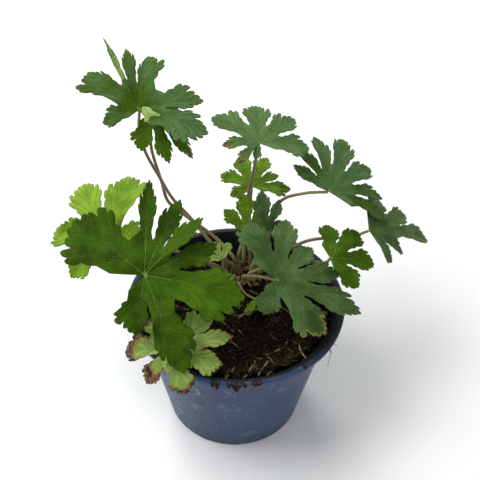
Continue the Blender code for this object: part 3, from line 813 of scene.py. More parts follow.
def add_lobe(mesh, layers, plant_leaf, edges, index, seed):
    """Adds one lobe's triangles to the blade, placed and with its distances stored."""
    one = plant_leaf["lobes"][index]
    ring, margin = lobe_ring(plant_leaf, edges, index, seed)
    veins = lobe_veins(plant_leaf, edges, index)
    ring_line = np.array([list(point) for point in ring])
    vein_lines = [np.array([list(point) for point in run]) for run, _ in veins]
    filled = fill_points(ring_line, vein_lines, fine_step(one))
    flat = list(ring)
    wanted = []
    for line in vein_lines:
        numbers = []
        for point in line:
            numbers.append(len(flat))
            flat.append(Vector(point))
        wanted += list(zip(numbers, numbers[1:]))
    flat += [Vector(point) for point in filled]
    starts = np.concatenate([line[:-1] for line in vein_lines])
    ends = np.concatenate([line[1:] for line in vein_lines])
    outline = [list(range(len(ring)))]
    done = delaunay_2d_cdt(flat, wanted, outline, 1, 1e-6)
    rolled = np.roll(ring_line, -1, axis=0)
    middles = [*middle_points(done, starts, ends), *middle_points(done, ring_line, rolled)]
    done = delaunay_2d_cdt(flat + [Vector(point) for point in middles], wanted, outline, 1, 1e-6)
    points = np.array([list(point) for point in done[0]])
    widths = []
    for (_, share), line in zip(veins, vein_lines):
        taper = np.linspace(1.0, VEIN_TAPER, len(line) - 1)
        widths.append(VEIN_WIDTH * share * taper * (0.6 + 0.4 * one["reach"] / USUAL_REACH))
    widths = np.concatenate(widths)
    vein = segment_distance(points, starts, ends, widths)
    vein_gap = segment_distance(points, starts, ends)
    on_margin = np.array(margin)
    both = on_margin & np.roll(on_margin, -1)
    edge_gap = segment_distance(points, ring_line[both], rolled[both])
    verts = []
    for number, point in enumerate(done[0]):
        place = one["axis"] * point.x + one["side"] * point.y
        vert = mesh.verts.new(shape_point(plant_leaf, edges, index, place))
        vert[layers["vein"]] = vein[number]
        vert[layers["vein_gap"]] = vein_gap[number]
        vert[layers["margin"]] = edge_gap[number]
        vert[layers["along"]] = point.length / one["reach"]
        vert[layers["lobe"]] = index
        vert[layers["flat"]] = (place.x, place.y, 0)
        verts.append(vert)
    for face in done[2]:
        a, b, c = (done[0][corner] for corner in face)
        if (b - a).cross(c - a) < 0:
            face = face[::-1]
        mesh.faces.new([verts[corner] for corner in face])


def blade(name, plant_leaf, seed):
    """The whole blade of a named leaf: one waved sheet in place, thickened to both sides."""
    edges = sector_edges(plant_leaf)
    mesh = bmesh.new()
    layers = {label: mesh.verts.layers.float.new(label) for label in STORED}
    layers["flat"] = mesh.verts.layers.float_vector.new("flat")
    for index in range(len(plant_leaf["lobes"])):
        add_lobe(mesh, layers, plant_leaf, edges, index, seed * SEEDS_PER_LEAF + index)
    bmesh.ops.remove_doubles(mesh, verts=mesh.verts, dist=LINE_GAP)
    move = Matrix.Translation(plant_leaf["junction"]) @ plant_leaf["frame"].to_4x4()
    bmesh.ops.transform(mesh, matrix=move, verts=mesh.verts)
    mesh.normal_update()
    dry_lobes = DRY.get(name, {})
    lit_and_fresh_lobes = FRESH_AND_SUNLIT.get(name, {})
    whole = lit_and_fresh_lobes.get("all", 0.3)
    start = Vector((seed * 0.31, 0, 0))
    broad, fine = CLOUD_SIZES
    moves = []
    for vert in mesh.verts:
        flat = vert[layers["flat"]]
        margin = vert[layers["margin"]]
        along = min(1.0, vert[layers["along"]])
        index = int(vert[layers["lobe"]] + 0.5)
        quilt = QUILT_HEIGHT * (1 - math.exp(-vert[layers["vein_gap"]] / QUILT_REACH))
        wave = WAVE_HEIGHT * along * noise.noise(flat / WAVE_SIZE + start)
        rim = math.exp(-margin / RUFFLE_FADE)
        ruffle = RUFFLE_HEIGHT * rim * along * noise.noise(flat / RUFFLE_SIZE + start)
        moves.append(vert.normal * (quilt - QUILT_HEIGHT / 2 + wave + ruffle))
        cloud = noise.noise(flat / broad + start) + 0.5 * noise.noise(flat / fine + start)
        dryness = dry_lobes.get(index, 0.0)
        if dryness:
            edge = DRY_EDGE_SHARE * math.exp(-margin / DRY_EDGE)
            vert[layers["dry"]] = clamp((along + dryness - 1 + DRY_CLOUD * cloud + edge) / DRY_FADE)
        # The share of fresh green and of painted sunlight at each point: the leaf's value near the junction,
        # the lobe's own further out, and a cloud of painted sunlit patches
        alone = clamp((along - FRESH_AND_SUNLIT_FROM) / FRESH_AND_SUNLIT_OVER)
        lobe_lit_and_fresh = lit_and_fresh_lobes.get(index, whole)
        vert[layers["fresh_and_lit"]] = max(0.0, whole + (lobe_lit_and_fresh - whole) * alone + FRESH_AND_SUNLIT_CLOUD * cloud)
    for vert, shift in zip(mesh.verts, moves):
        vert.co += shift
    made = mesh_object(name + "_blade", mesh)
    made.data.shade_smooth()
    thick = made.modifiers.new("thickness", "SOLIDIFY")
    thick.thickness = BLADE_FINE
    thick.offset = 0
    thick.material_offset = 1
    return made


# %% [markdown]
# A living blade is matt on top with a soft gloss, pale along its veins, and a little see-through.
# Its underside is paler and its veins stand out. Both sides share one recipe that reads the
# distances stored on the blade. Light passes through the thin sheet by subsurface scattering.

# %% The finish of a blade
NET_SIZE = 1.9 * MM
# Painted shade, multiplied in beside the veins and along the lines of the fine net, where they sink
GROOVE_SHADE = (0.5, 0.6, 0.4, 1)
DRY_YELLOW = colour(138, 134, 66)
DRY_BROWN = colour(132, 104, 76)
DRY_DARK = colour(50, 36, 30)


def stored_value(tree, label):
    """The output of a node that reads one of the blade's stored values."""
    return link_node(tree, "ShaderNodeAttribute", attribute_name=label).outputs["Fac"]


def make_blade_pattern():
    """Colour and height of a blade from its stored values: veins and fine net with painted shade in their
    grooves, patches that are partly painted sunlight, margin.
    """
    colours = {"Deep": "Color", "Fresh and sunlit": "Color", "Pale": "Color", "Vein": "Color", "Margin": "Color"}
    tree, given, out = new_tree(
        "Blade pattern",
        "ShaderNodeTree",
        {**colours, "Vein strength": "Float", "Net strength": "Float"},
        {"Color": "Color", "Height": "Float"},
    )
    # Broad patches of painted sunlight and shade, added to each point's stored freshness and light
    patches = placed_group(tree, MOTTLE, Size=13 * MM, Detail=3.0)
    freshness_and_light = stored_value(tree, "fresh_and_lit")
    tone = combined(tree, "ADD", freshness_and_light, scaled(tree, patches, 0.6))
    green = mixed(tree, tone, given["Deep"], given["Fresh and sunlit"])
    broad = mixed(tree, ranged(tree, freshness_and_light, 1.2, 1.4), green, given["Pale"])
    fine = placed_group(tree, MOTTLE, Size=0.8 * MM, Detail=3.0)
    shaded = mixed(tree, scaled(tree, fine, 0.16), broad, (0.55, 0.55, 0.5, 1), "MULTIPLY")
    # Painted shade in the grooves beside the veins
    near_vein = ranged(tree, stored_value(tree, "vein_gap"), 0.15 * MM, 1.1 * MM, 0.45, 0.0)
    groove_shaded = mixed(tree, near_vein, shaded, GROOVE_SHADE, "MULTIPLY")
    along = stored_value(tree, "along")
    line = ranged(tree, stored_value(tree, "vein"), 0.5, 1.5, 1.0, 0.0)
    fading = scaled(tree, ranged(tree, along, 0.05, 0.7, 1.0, 0.3), given["Vein strength"])
    veined = mixed(tree, scaled(tree, line, fading), groove_shaded, given["Vein"])
    cells = object_place(tree, NET_SIZE)
    net = link_node(tree, "ShaderNodeTexVoronoi", cells, feature="DISTANCE_TO_EDGE").outputs["Distance"]
    lines = ranged(tree, net, 0.0, 0.12, 1.0, 0.0)
    # Painted shade along the sunken lines of the fine net
    netted = mixed(tree, scaled(tree, lines, given["Net strength"]), veined, GROOVE_SHADE, "MULTIPLY")
    heart = mixed(tree, ranged(tree, along, 0.012, 0.05, 0.8, 0.0), netted, given["Vein"])
    edge = ranged(tree, stored_value(tree, "margin"), 0.08 * MM, 0.42 * MM, 0.7, 0.0)
    rimmed = mixed(tree, edge, heart, given["Margin"])
    dry = stored_value(tree, "dry")
    fading_out = mixed(tree, ranged(tree, dry, 0.0, 0.35), rimmed, DRY_YELLOW)
    dry_cloud = placed_group(tree, MOTTLE, Size=2.2 * MM, Detail=4.0)
    dead = mixed(tree, dry_cloud, DRY_BROWN, DRY_DARK)
    tree.links.new(mixed(tree, ranged(tree, dry, 0.3, 0.8), fading_out, dead), out["Color"])
    grooves = ranged(tree, net, 0.0, 0.4, 1.0, 0.0)
    tree.links.new(combined(tree, "MAXIMUM", line, scaled(tree, grooves, 0.8)), out["Height"])
    return tree


BLADE_PATTERN = make_blade_pattern()


def blade_finish(name, deep, fresh_and_lit, pale, vein, margin, strength, net, roughness, relief):
    """A blade's finish. relief is the bump's height: veins sink where it is under 0."""
    material, tree, shader = new_material(
        name,
        roughness,
        Subsurface_Weight=0.3,
        Subsurface_Radius=(0.35, 0.7, 0.1),
        Subsurface_Scale=0.7 * MM,
        Specular_IOR_Level=0.06,
    )
    pattern = tree.nodes.new("ShaderNodeGroup")
    pattern.node_tree = BLADE_PATTERN
    colours = {"Deep": deep, "Fresh and sunlit": fresh_and_lit, "Pale": pale, "Vein": vein, "Margin": margin}
    for label, value in {**colours, "Vein strength": strength, "Net strength": net}.items():
        pattern.inputs[label].default_value = value
    paint(tree, shader, pattern.outputs["Color"], pattern.outputs["Height"], relief)
    return material


# Each look: deep, fresh and sunlit, vein and margin on top, then the underside's deep and its fresh and
# sunlit
LOOKS = {
    "deep": ((41, 68, 0), (82, 118, 20), (122, 154, 68), (40, 56, 18), (112, 146, 72), (140, 172, 96)),
    "blue": ((60, 90, 4), (88, 120, 70), (108, 140, 66), (44, 58, 26), (112, 146, 72), (160, 192, 116)),
    "dull": ((44, 72, 28), (98, 124, 74), (104, 132, 70), (84, 94, 66), (120, 150, 92), (146, 174, 112)),
    "grey": ((88, 118, 66), (98, 128, 76), (122, 148, 98), (88, 104, 66), (128, 156, 102), (150, 178, 122)),
    "sunny": ((76, 108, 6), (144, 180, 56), (140, 172, 70), (60, 84, 16), (136, 170, 80), (164, 196, 108)),
    "old": ((124, 152, 70), (162, 184, 100), (96, 126, 52), (140, 124, 76), (146, 166, 92), (168, 184, 112)),
}
LOOK_VEINS = {"deep": 0.85, "blue": 0.65, "dull": 0.5, "grey": 0.5, "sunny": 0.6, "old": 0.6}
LOOK_NETS = {"deep": 0.35, "blue": 0.35, "dull": 0.35, "grey": 0.35, "sunny": 0.45, "old": 0.5}


def blade_pair(look):
    """The upper and the lower finish of a blade."""
    deep, fresh_and_lit, vein, margin, under_deep, under_fresh_and_lit = (colour(*part) for part in LOOKS[look])
    pale = colour(166, 196, 118)
    pale_vein = colour(176, 200, 136)
    over = (deep, fresh_and_lit, pale, vein, margin, LOOK_VEINS[look], LOOK_NETS[look], 0.6, -0.45 * MM)
    below = (under_deep, under_fresh_and_lit, pale, pale_vein, margin, 0.6, 0.15, 0.68, 0.14 * MM)
    return blade_finish("blade_" + look, *over), blade_finish("blade_" + look + "_under", *below)


FINISHES = {look: blade_pair(look) for look in LOOKS}
print("blade finishes:", list(FINISHES))

# %% [markdown]
# Each leaf now gets its blade, in the finish that its age and its light call for. Some lobes have
# died back at their tips, and the oldest leaf is brown round most of its margin.

# %% Growing the blades
LEAF_LOOK = {
    "leaf_top_left": "blue",
    "leaf_top_left_under": "deep",
    "leaf_front_left": "deep",
    "leaf_left_behind": "sunny",
    "leaf_top_centre": "grey",
    "leaf_centre_under": "sunny",
    "leaf_centre_young": "sunny",
    "leaf_centre_edge": "dull",
    "leaf_right_upper": "blue",
    "leaf_right_outer": "dull",
    "leaf_right_small": "deep",
    "leaf_front_right": "dull",
    "leaf_young_front": "sunny",
    "leaf_old_rim": "old",
    "leaf_young_left": "old",
}


def record_slot(name):
    """The record's material slot of a leaf's node."""
    for row in frame["record"]["subparts"]:
        if row["node"] == name:
            return row["material_slot"]
    return None


triangles = 0
for number, (name, plant_leaf) in enumerate(LEAVES.items(), start=1):
    made = blade(name, plant_leaf, number)
    for material in FINISHES[LEAF_LOOK[name]]:
        made.data.materials.append(material)
    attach(made, "root")
    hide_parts(name)
    triangles += 2 * len(made.data.polygons)
print("blades:", number, "triangles:", triangles)

# %% [markdown]
# At the top leaf's junction one small lobe has turned over and lies on the blade, pale side up. It
# grows from the same junction, so it is made as a blade of one lobe.

# %% The turned-over lobe
TURNED_LOBE = leaf(
    (-56, 52, 190.5), (0.1, -0.3, 0.95), [(0, 0)], [lobe(-55, 15, lift=12, curl=-30, fold=24)], young=True
)
made = blade("turned_lobe", TURNED_LOBE, number + 1)
for material in FINISHES["old"]:
    made.data.materials.append(material)
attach(made, "root")
print("turned lobe's faces:", len(made.data.polygons))

# %% [markdown]
# A stalk is a long hairy tube that follows its path out of the soil and up to its blade. It could
# be a curve with a bevel, but Geometry Nodes also give it its own thickness along the way and set
# short hairs all round it, as real geometry that stays with the part when it is exported.

# %% The stalk's node tree
STALK_SIDES = 10
HAIR_RADIUS = 0.035 * MM
HAIR_LEAN = Vector((0.5, 0.5, 0.5))
HAIR_SHORTEST = 0.5
HAIR_LONGEST = 1.2
STALK_TONES = {0.18: (150, 148, 84), 0.38: (140, 124, 84), 0.7: (124, 96, 78), 0.94: (134, 128, 80)}


def random_vector(tree, lowest, highest, seed):
    """The output of a node that draws a vector between two others."""
    inputs = {0: lowest, 1: highest, "Seed": seed}
    return link_node(tree, "FunctionNodeRandomValue", inputs, data_type="FLOAT_VECTOR").outputs[0]


def random_number(tree, lowest, highest, seed):
    """The output of a node that draws a number between two others."""
    return link_node(tree, "FunctionNodeRandomValue", {2: lowest, 3: highest, "Seed": seed}).outputs[1]


def store_value(tree, geometry, label, value, domain):
    """A node that stores a number under a name for the finish to read."""
    inputs = {"Geometry": geometry, "Name": label, "Value": value}
    return link_node(tree, "GeometryNodeStoreNamedAttribute", inputs, data_type="FLOAT", domain=domain)


def make_stalk_tree():
    """Turns a path into a tube that tapers from its foot to its top, with hairs all round it."""
    tree, given, out = new_tree(
        "Stalk",
        "GeometryNodeTree",
        {
            "Geometry": "Geometry",
            "Foot radius": "Float",
            "Top radius": "Float",
            "Hairs": "Float",
            "Hair length": "Float",
            "Seed": "Int",
            "Stalk finish": "Material",
            "Hair finish": "Material",
        },
        {"Geometry": "Geometry"},
    )
    line = link_node(tree, "GeometryNodeMeshToCurve", {"Mesh": given["Geometry"]})
    share = link_node(tree, "GeometryNodeSplineParameter").outputs["Factor"]
    ends = {"To Min": given["Foot radius"], "To Max": given["Top radius"]}
    radius = link_node(tree, "ShaderNodeMapRange", {"Value": share, **ends})
    ring = link_node(tree, "GeometryNodeCurvePrimitiveCircle", {"Resolution": STALK_SIDES, "Radius": 1.0})
    kept = store_value(tree, line, "share", share, "POINT")
    tube = link_node(
        tree,
        "GeometryNodeCurveToMesh",
        {"Curve": kept, "Profile Curve": ring, "Scale": radius, "Fill Caps": True},
    )
    smooth = link_node(tree, "GeometryNodeSetShadeSmooth", {"Geometry": tube})
    skin = link_node(
        tree, "GeometryNodeSetMaterial", {"Geometry": smooth, "Material": given["Stalk finish"]}
    )
    spread = link_node(
        tree,
        "GeometryNodeDistributePointsOnFaces",
        {"Mesh": tube, "Density": given["Hairs"], "Seed": given["Seed"]},
    )
    sides = {"Vertices": 3, "Side Segments": 1}
    sizes = {"Radius Top": 0.0, "Radius Bottom": HAIR_RADIUS, "Depth": given["Hair length"]}
    hair = link_node(tree, "GeometryNodeMeshCone", {**sides, **sizes}, fill_type="NONE")
    lean = random_vector(tree, -HAIR_LEAN, HAIR_LEAN, given["Seed"])
    leaning = link_node(
        tree, "ShaderNodeVectorMath", {0: spread.outputs["Normal"], 1: lean}, operation="ADD"
    )
    turn = link_node(tree, "FunctionNodeAlignRotationToVector", {"Vector": leaning}, axis="Z")
    size = random_number(tree, HAIR_SHORTEST, HAIR_LONGEST, given["Seed"])
    planted = link_node(
        tree,
        "GeometryNodeInstanceOnPoints",
        {"Points": spread, "Instance": hair, "Rotation": turn, "Scale": size},
    )
    real = link_node(tree, "GeometryNodeRealizeInstances", {"Geometry": planted})
    painted = link_node(
        tree, "GeometryNodeSetMaterial", {"Geometry": real, "Material": given["Hair finish"]}
    )
    both = link_node(tree, "GeometryNodeJoinGeometry")
    for part in (painted, skin):
        tree.links.new(part.outputs[0], both.inputs[0])
    tree.links.new(both.outputs[0], out[0])
    return tree


def run_tree(name, base, tree, **values):
    """Runs a node tree on an object and keeps its result as a plain mesh of its own."""
    modifier = base.modifiers.new(tree.name, "NODES")
    modifier.node_group = tree
    labels = {key.replace("_", " "): value for key, value in values.items()}
    for item in tree.interface.items_tree:
        if item.in_out == "INPUT" and item.name in labels:
            modifier[item.identifier] = labels[item.name]
    base.update_tag()
    bpy.context.view_layer.update()
    graph = bpy.context.evaluated_depsgraph_get()
    mesh = bpy.data.meshes.new_from_object(
        base.evaluated_get(graph), preserve_all_data_layers=True, depsgraph=graph
    )
    base.modifiers.remove(modifier)
    mesh.name = name
    return add_object(name, mesh)


def stalk_finish():
    """Dull pink-brown at the foot, green towards the blade, with darker patches."""
    glow = {"Subsurface_Weight": 0.1, "Subsurface_Scale": 1 * MM}
    material, tree, shader = new_material("stalk_skin", 0.5, **glow)
    share = link_node(tree, "ShaderNodeAttribute", attribute_name="share").outputs["Fac"]
    ramp = link_node(tree, "ShaderNodeValToRGB", {"Fac": share})
    stops = ramp.color_ramp.elements
    stops[0].position, stops[0].color = 0.0, colour(158, 152, 98)
    stops[1].position, stops[1].color = 1.0, colour(126, 138, 70)
    for place, tone in STALK_TONES.items():
        stops.new(place).color = colour(*tone)
    patches = placed_group(tree, MOTTLE, Size=3 * MM, Detail=3.0)
    darker = mixed(tree, 0.3, ramp.outputs[0], colour(96, 70, 52))
    paint(tree, shader, mixed(tree, patches, ramp.outputs[0], darker), patches, 0.05 * MM)
    return material


def hair_finish():
    """Pale hairs, a little see-through."""
    material, tree, shader = new_material("hair_pale", 0.6, Subsurface_Weight=0.1)
    patches = placed_group(tree, MOTTLE, Size=6 * MM, Detail=1.0)
    paint(tree, shader, mixed(tree, patches, colour(196, 200, 170), colour(214, 210, 188)))
    return material


STALK_TREE = make_stalk_tree()
STALK_SKIN = stalk_finish()
HAIR_PALE = hair_finish()
print("stalk tree nodes:", len(STALK_TREE.nodes))

# %% [markdown]
# The path of each stalk rises straight out of the soil and then follows a smooth curve through the
# same points as its solid. The path is a row of joined vertices, which the tree turns into a tube.

# %% Growing the stalks
SOIL_LEVEL = 76 * MM
ROOT_DEPTH = 9 * MM
STALK_UPRIGHT = (-ROOT_DEPTH, 3 * MM, 9 * MM)
STALK_FOOT_RADIUS = 1.25 * MM
STALK_TOP_RADIUS = 0.85 * MM
YOUNG_STALK = 0.7
STALK_STEP = 2.2 * MM
HAIR_LENGTH = 0.7 * MM
HAIRS_PER_AREA = 1.4e6


def stalk_line(plant_leaf):
    """The points of a leaf's stalk, from inside the soil to just under its blade."""
    below = plant_leaf["junction"] - plant_leaf["frame"].col[2] * STALK_TOP_RADIUS
    upright = [plant_leaf["root"] + Vector((0, 0, SOIL_LEVEL + rise)) for rise in STALK_UPRIGHT]
    points = upright + plant_leaf["stalk"] + [below]
    return smooth_run(points, STALK_STEP) + [points[-1]]


def path_object(name, points):
    """A row of vertices, each joined to the next."""
    data = bpy.data.meshes.new(name)
    joins = [(number, number + 1) for number in range(len(points) - 1)]
    data.from_pydata([tuple(point) for point in points], joins, [])
    return add_object(name, data)


for number, (name, plant_leaf) in enumerate(LEAVES.items(), start=1):
    path = path_object(name + "_path", stalk_line(plant_leaf))
    stout = YOUNG_STALK if plant_leaf["young"] else 1.0
    made = run_tree(
        name + "_stalk",
        path,
        STALK_TREE,
        Foot_radius=STALK_FOOT_RADIUS * stout,
        Top_radius=STALK_TOP_RADIUS * stout,
        Hairs=HAIRS_PER_AREA,
        Hair_length=HAIR_LENGTH,
        Seed=number,
        Stalk_finish=STALK_SKIN,
        Hair_finish=HAIR_PALE,
    )
    bpy.data.objects.remove(path)
    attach(made, "root")
    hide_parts(name)
print("last stalk's faces:", len(made.data.polygons))

# %% [markdown]
# The pot is a thin moulded shell, so its section is drawn once and turned about the upright axis.
# Its rim is a flat flange with a short lip that hangs down outside. The drain holes are cut with
# a Boolean, as they are punched in the real one.

# %% The pot
POT_STEPS = 160
POT_HEIGHT = 88 * MM
POT_RIM_RADIUS = 65 * MM
POT_FOOT_RADIUS = 41.5 * MM
POT_NECK_RADIUS = 58.5 * MM
POT_NECK_HEIGHT = 83.5 * MM
POT_WALL = 1.5 * MM
POT_FLOOR = 3.2 * MM
RIM_FLANGE = 5 * MM
RIM_DROP = 3 * MM
RIM_ROUND = 0.9 * MM
RIM_LIP = 1.2 * MM
FOOT_RING = 6 * MM
FOOT_ROUND = 1 * MM
CENTRE_PAD_RADIUS = 22 * MM
CHANNEL_RISE = 1.5 * MM
DRAIN_HOLES = 8
DRAIN_RADIUS = 3.5 * MM
DRAIN_RING_RADIUS = 29.5 * MM
DRAIN_SIDES = 24
SHARP_FROM = math.radians(35)
FACES_INWARD = -0.3


def turned_shape(name, profile, steps):
    """A closed solid of revolution; the profile runs from the axis round the section and back."""
    mesh = bmesh.new()
    rings = []
    for radius, height in profile:
        if radius == 0:
            rings.append([mesh.verts.new((0, 0, height))])
            continue
        turns = [math.tau * step / steps for step in range(steps)]
        ring = [(radius * math.cos(turn), radius * math.sin(turn), height) for turn in turns]
        rings.append([mesh.verts.new(corner) for corner in ring])
    for low, high in zip(rings, rings[1:]):
        for step in range(steps):
            after = (step + 1) % steps
            corners = [low[step % len(low)], low[after % len(low)]]
            corners += [high[after % len(high)], high[step % len(high)]]
            mesh.faces.new(list(dict.fromkeys(corners)))
    bmesh.ops.recalc_face_normals(mesh, faces=mesh.faces)
    return mesh_object(name, mesh)


def wall_radius(height):
    """The pot's outer radius at a height, on the straight taper from foot to neck."""
    return POT_FOOT_RADIUS + (POT_NECK_RADIUS - POT_FOOT_RADIUS) * height / POT_NECK_HEIGHT


def inner_radius(height):
    """The pot's inner radius at a height."""
    return wall_radius(height) - POT_WALL


def pot_profile():
    """The pot's section from the middle of its underside, out and up over the rim, then down the
    inside to the middle of its floor."""
    rim_inside = POT_RIM_RADIUS - RIM_FLANGE
    floor_edge = POT_FLOOR + FOOT_ROUND
    return [
        (0, 0),
        (CENTRE_PAD_RADIUS, 0),
        (CENTRE_PAD_RADIUS + CHANNEL_RISE, CHANNEL_RISE),
        (POT_FOOT_RADIUS - FOOT_RING - CHANNEL_RISE, CHANNEL_RISE),
        (POT_FOOT_RADIUS - FOOT_RING, 0),
        (POT_FOOT_RADIUS - FOOT_ROUND, 0),
        (wall_radius(FOOT_ROUND), FOOT_ROUND),
        (POT_NECK_RADIUS, POT_NECK_HEIGHT),
        (rim_inside + POT_WALL, POT_HEIGHT - RIM_DROP + RIM_ROUND),
        (POT_RIM_RADIUS - RIM_LIP, POT_HEIGHT - RIM_DROP + RIM_ROUND),
        (POT_RIM_RADIUS - RIM_LIP, POT_HEIGHT - RIM_DROP),
        (POT_RIM_RADIUS - RIM_ROUND / 4, POT_HEIGHT - RIM_DROP),
        (POT_RIM_RADIUS, POT_HEIGHT - RIM_ROUND),
        (POT_RIM_RADIUS - RIM_ROUND, POT_HEIGHT),
        (rim_inside + RIM_ROUND, POT_HEIGHT),
        (rim_inside, POT_HEIGHT - RIM_ROUND),
        (inner_radius(POT_NECK_HEIGHT), POT_NECK_HEIGHT),
        (inner_radius(floor_edge), floor_edge),
        (inner_radius(floor_edge) - FOOT_ROUND, POT_FLOOR),
        (0, POT_FLOOR),
    ]


pot = turned_shape("pot_shell", pot_profile(), POT_STEPS)
drill_mesh = bmesh.new()
for number in range(DRAIN_HOLES):
    turn = math.tau * (number + 0.5) / DRAIN_HOLES
    centre = Vector((math.cos(turn), math.sin(turn), 0)) * DRAIN_RING_RADIUS
    bmesh.ops.create_cone(
        drill_mesh,
        cap_ends=True,
        segments=DRAIN_SIDES,
        radius1=DRAIN_RADIUS,
        radius2=DRAIN_RADIUS,
        depth=4 * POT_FLOOR,
        matrix=Matrix.Translation(centre),
    )
drill = mesh_object("drill", drill_mesh)
cut = pot.modifiers.new("drain", "BOOLEAN")
cut.operation = "DIFFERENCE"
cut.object = drill
bpy.context.view_layer.update()
graph = bpy.context.evaluated_depsgraph_get()
cut_mesh = bpy.data.meshes.new_from_object(pot.evaluated_get(graph))
pot.modifiers.remove(cut)
pot.data = cut_mesh
bpy.data.objects.remove(drill)
pot.data.shade_smooth()
pot.data.set_sharp_from_angle(angle=SHARP_FROM)


def pot_inside_shade_finish():
    """The wall inside and the top of the rim, painted near black with patches as the shade inside the pot.
    """
    material, tree, shader = new_material("pot_inside_shade", 0.6, Specular_IOR_Level=0.15)
    patches = placed_group(tree, MOTTLE, Size=4 * MM, Detail=5.0)
    paint(tree, shader, mixed(tree, patches, colour(8, 9, 13), colour(24, 27, 36)))
    return material


SCUFF_PLACE = Vector((-24, -54, 62)) * MM
STAIN_PLACE = Vector((13, -63, 84)) * MM


def pot_finish():
    """Blue-grey plastic, a little uneven, with dust, specks, scuffs and a stain; it is darker and browner at
    its foot, the top of its rim is near black towards the inside, and painted shade darkens its rim towards
    the right."""
    material, tree, shader = new_material("pot_plastic", 0.42, Specular_IOR_Level=0.25)
    place = link_node(tree, "ShaderNodeTexCoord").outputs["Object"]
    parts = link_node(tree, "ShaderNodeSeparateXYZ", {0: place})
    side, upward = parts.outputs["X"], parts.outputs["Z"]

    def close_to(spot, full, none):
        """1 out to a distance from a spot, then fading to 0."""
        away = link_node(tree, "ShaderNodeVectorMath", {0: place, 1: spot}, operation="DISTANCE")
        return ranged(tree, away.outputs["Value"], full, none, 1.0, 0.0)

    grain = placed_group(tree, MOTTLE, Size=3.5 * MM, Detail=5.0)
    specks = placed_group(tree, SPECKS, Size=2.6 * MM, Share=0.22)
    smudges = ranged(tree, placed_group(tree, MOTTLE, Size=8 * MM, Detail=9.0), 0.9, 1.0, 0.0, 0.3)
    flecks = ranged(tree, placed_group(tree, MOTTLE, Size=2.2 * MM, Detail=6.0), 0.6, 0.95)
    scuffed = scaled(tree, close_to(SCUFF_PLACE, 3 * MM, 11 * MM), flecks)
    low = ranged(tree, upward, 0.0, 5 * MM, 1.0, 0.0)
    flat = link_node(tree, "ShaderNodeCombineXYZ", {0: side, 1: parts.outputs["Y"]})
    reach = link_node(tree, "ShaderNodeVectorMath", {0: flat}, operation="LENGTH").outputs["Value"]
    inward = ranged(tree, reach, POT_RIM_RADIUS - 2.8 * MM, POT_RIM_RADIUS - 2.2 * MM, 1.0, 0.15)
    top = ranged(tree, upward, POT_HEIGHT - 0.8 * MM, POT_HEIGHT - 0.2 * MM)
    # Painted shade: the rim, from the lip's lower edge up, is darkened more towards the pot's right, +X
    right = ranged(tree, side, 26 * MM, 54 * MM, 0.0, 0.8)
    lip = ranged(tree, upward, POT_HEIGHT - 3.6 * MM, POT_HEIGHT - 2.8 * MM)
    layers = [
        (scaled(tree, grain, 0.14), (120, 122, 124)),
        (scaled(tree, specks, 0.6), (122, 120, 120)),
        (combined(tree, "MAXIMUM", smudges, scuffed), (122, 132, 140)),
        (scaled(tree, close_to(STAIN_PLACE, 2 * MM, 6 * MM), grain), (118, 70, 58)),
        (scaled(tree, low, grain), (58, 46, 40)),
        # Near black on the inside of the rim's top, and painted shade on the rim's right side
        (combined(tree, "MAXIMUM", scaled(tree, inward, top), scaled(tree, right, lip)), (14, 15, 21)),
    ]
    patches = placed_group(tree, MOTTLE, Size=26 * MM, Detail=4.0)
    skin = mixed(tree, patches, colour(34, 56, 94), colour(44, 66, 100))
    for mask, tone in layers:
        skin = mixed(tree, mask, skin, colour(*tone))
    paint(tree, shader, skin, grain, 0.04 * MM)
    tree.links.new(ranged(tree, grain, 0.0, 1.0, 0.36, 0.52), shader.inputs["Roughness"])
    return material


pot.data.materials.clear()
pot.data.materials.append(pot_finish())
pot.data.materials.append(pot_inside_shade_finish())
# Faces that look inward get the painted shade of the pot's inside
for face in pot.data.polygons:
    outward = Vector((face.center.x, face.center.y, 0)).normalized()
    face.material_index = 1 if face.normal.dot(outward) < FACES_INWARD else 0
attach(pot, "root")
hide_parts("pot")
print("pot faces:", len(pot.data.polygons))

# %% [markdown]
# Compost is fine dark crumbs, clods and short fibres. A smooth disc would look like a lid, so the
# surface is a fine grid moved by noise at three sizes, and loose crumbs and fibres lie on it.

# %% The soil
SOIL_MOUND = 3 * MM
SOIL_MOUND_REACH = 22 * MM
SOIL_RELIEF = 1.6 * MM
CLOD_SIZE = 9 * MM
SOIL_EDGE_ROUND = 2 * MM
SOIL_GRAIN = 0.55 * MM
SOIL_GRAIN_SIZES = (1.9 * MM, 0.9 * MM)
SOIL_HEAP_SPREAD = 1.6
SOIL_HEAP = 10 * MM
SOIL_HEAPED = Vector((0.75, -0.66, 0))
CROWN = Vector((1, 31, 0)) * MM
FIT_GAP = 0.3 * MM
SOIL_RINGS = 90
SOIL_STEPS = 260


def soil_height(x, y):
    """The soil's surface: a low mound at the crown, clods and hollows, and fine grain."""
    place = Vector((x, y, 0))
    near = (place - CROWN).length / SOIL_MOUND_REACH
    clods = noise.noise(place / CLOD_SIZE) + 0.6 * noise.noise(2 * place / CLOD_SIZE + Vector((7, 3, 1)))
    coarse, fine = SOIL_GRAIN_SIZES
    grain = noise.noise(place / coarse) + 0.6 * noise.noise(place / fine + Vector((2, 8, 5)))
    towards = clamp(SOIL_HEAP_SPREAD * place.normalized().dot(SOIL_HEAPED))
    heap = SOIL_HEAP * towards * min(1.0, place.length / soil_edge) ** 4
    mound = SOIL_MOUND * math.exp(-near * near)
    return SOIL_LEVEL + mound + heap + SOIL_RELIEF * clods + SOIL_GRAIN * grain


